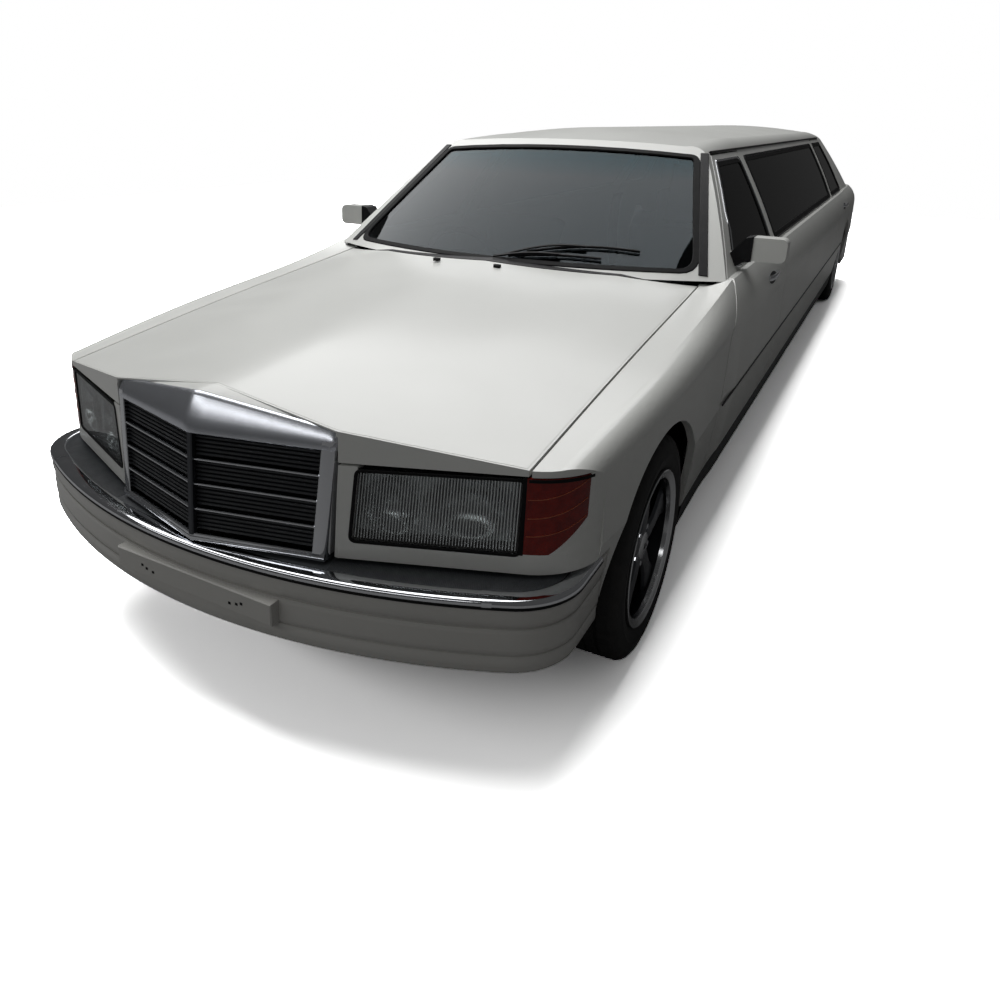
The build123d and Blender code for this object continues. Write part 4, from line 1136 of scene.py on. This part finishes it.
REAR_HALF = 872
REAR_CORNER = 110
REAR_BEND_S = 7760
tail_run = [(-REAR_HALF, 7420), (-REAR_HALF, REAR_BEND_S)]
tail_run += [(-REAR_HALF + REAR_CORNER - REAR_CORNER * math.cos(a), REAR_BEND_S + REAR_CORNER * math.sin(a))
             for a in spread(0, math.pi / 2, 8)[1:]]
tail_run += [(-x, s) for x, s in reversed(tail_run)]
# name, lower and upper z, reach out of the bumper, finish
TAIL_STRIPS = (("rear_bumper_strip", 518, 538, 5, chrome), ("rear_bumper_rubber", 470, 514, 4, rubber))
for name, low, high, out, mat in TAIL_STRIPS:
    section = ((-3, low), (out - 1.5, low), (out, low + 2), (out, high - 2), (out - 1.5, high), (-3, high))
    rings = []
    for i, (x, s) in enumerate(tail_run):
        before, after = tail_run[max(i - 1, 0)], tail_run[min(i + 1, len(tail_run) - 1)]
        way = Vector((after[0] - before[0], after[1] - before[1])).normalized()
        nx, ns = -way.y, way.x
        rings.append([at(x + nx * reach, s + ns * reach, z) for reach, z in section])
    piece(name, *loft_rings(rings), mat)
PIPE_X = -330
PIPE_Z = 195
pipe = []
for s, r in ((7790, 30), (7790, 33), (7852, 34), (7852, 29), (7800, 29)):
    pipe.append([at(PIPE_X + r * math.cos(a), s, PIPE_Z + r * math.sin(a)) for a in turns(24)])
piece("exhaust_tip", *loft_rings(pipe), chrome)

# Camera from the fitted view of the photograph, which is cut off-centre from a wider picture
CAMERA_AT = (1.3502, -5.1775, 1.4831)
CAMERA_TURN, CAMERA_DIP, CAMERA_ROLL = (math.radians(v) for v in (30.635, 18.197, 0.849))
forward = Vector((-math.sin(CAMERA_TURN) * math.cos(CAMERA_DIP), math.cos(CAMERA_TURN) * math.cos(CAMERA_DIP),
                  -math.sin(CAMERA_DIP)))
right = Vector((math.cos(CAMERA_TURN), math.sin(CAMERA_TURN), 0))
up = right.cross(forward)
right, up = (right * math.cos(CAMERA_ROLL) + up * math.sin(CAMERA_ROLL),
             up * math.cos(CAMERA_ROLL) - right * math.sin(CAMERA_ROLL))
camera = bpy.data.objects.new("camera", bpy.data.cameras.new("camera"))
camera.matrix_world = Matrix((right, up, -forward)).transposed().to_4x4()
camera.location = CAMERA_AT
camera.data.sensor_width = 36
camera.data.lens = 29.536
camera.data.shift_x = 0.08704
camera.data.shift_y = -0.11519
camera.data.clip_end = 200
bpy.context.scene.collection.objects.link(camera)
bpy.context.scene.camera = camera

# Floor and world: white for the camera, a plain low level for the light that reaches the car
SHOWN_WHITE = 1.0
SOFT_LEVEL = 0.055
SHADOW_DEPTH = 0.36
FLOOR_BOUNCE = 0.2
FLOOR = 11


def camera_ray(nodes):
    return nodes.new("ShaderNodeLightPath").outputs["Is Camera Ray"]


floor_mat = bpy.data.materials.new("pale_floor")
floor_mat.use_nodes = True
nodes, links = floor_mat.node_tree.nodes, floor_mat.node_tree.links
nodes.remove(nodes["Principled BSDF"])
shown, bounce, mix = (nodes.new(f"ShaderNode{kind}") for kind in ("BsdfDiffuse", "BsdfDiffuse", "MixShader"))
pale = SHADOW_DEPTH * SHOWN_WHITE / SOFT_LEVEL
shown.inputs["Color"].default_value = (pale, pale, pale, 1)
bounce.inputs["Color"].default_value = (FLOOR_BOUNCE, FLOOR_BOUNCE, FLOOR_BOUNCE, 1)
links.new(camera_ray(nodes), mix.inputs[0])
links.new(bounce.outputs[0], mix.inputs[1])
links.new(shown.outputs[0], mix.inputs[2])
links.new(mix.outputs[0], nodes["Material Output"].inputs["Surface"])
floor_mesh = bpy.data.meshes.new("floor")
floor_corners = [(-FLOOR, -FLOOR, 0), (FLOOR, -FLOOR, 0), (FLOOR, FLOOR, 0), (-FLOOR, FLOOR, 0)]
floor_mesh.from_pydata(floor_corners, [], [(0, 1, 2, 3)])
floor_mesh.materials.append(floor_mat)
floor = bpy.data.objects.new("floor", floor_mesh)
bpy.context.scene.collection.objects.link(floor)

world = bpy.data.worlds.new("studio")
world.use_nodes = True
bpy.context.scene.world = world
nodes, links = world.node_tree.nodes, world.node_tree.links
background = nodes["Background"]
level = nodes.new("ShaderNodeMapRange")
level.inputs["To Min"].default_value = SOFT_LEVEL
level.inputs["To Max"].default_value = SHOWN_WHITE
links.new(camera_ray(nodes), level.inputs["Value"])
links.new(level.outputs["Result"], background.inputs["Strength"])
background.inputs["Color"].default_value = (1, 1, 1, 1)

# name, place, aims at, width, length, power
LAMPS = (
    ("overhead", (-3.5, 0.8, 7.0), (-3.5, 0.8, 0), 9.4, 12.4, 960),
    ("front_strip", (-2.0, -9.5, 4.9), (-0.5, -3.9, 0.8), 12.0, 0.9, 75),
)
for name, place, aim, width, length, power in LAMPS:
    data = bpy.data.lights.new(name, "AREA")
    data.shape = "RECTANGLE"
    data.size = width
    data.size_y = length
    data.energy = power
    lamp = bpy.data.objects.new(name, data)
    lamp.location = place
    lamp.rotation_euler = (Vector(aim) - Vector(place)).to_track_quat("-Z", "Y").to_euler()
    bpy.context.scene.collection.objects.link(lamp)

bpy.context.scene.view_settings.view_transform = "Standard"
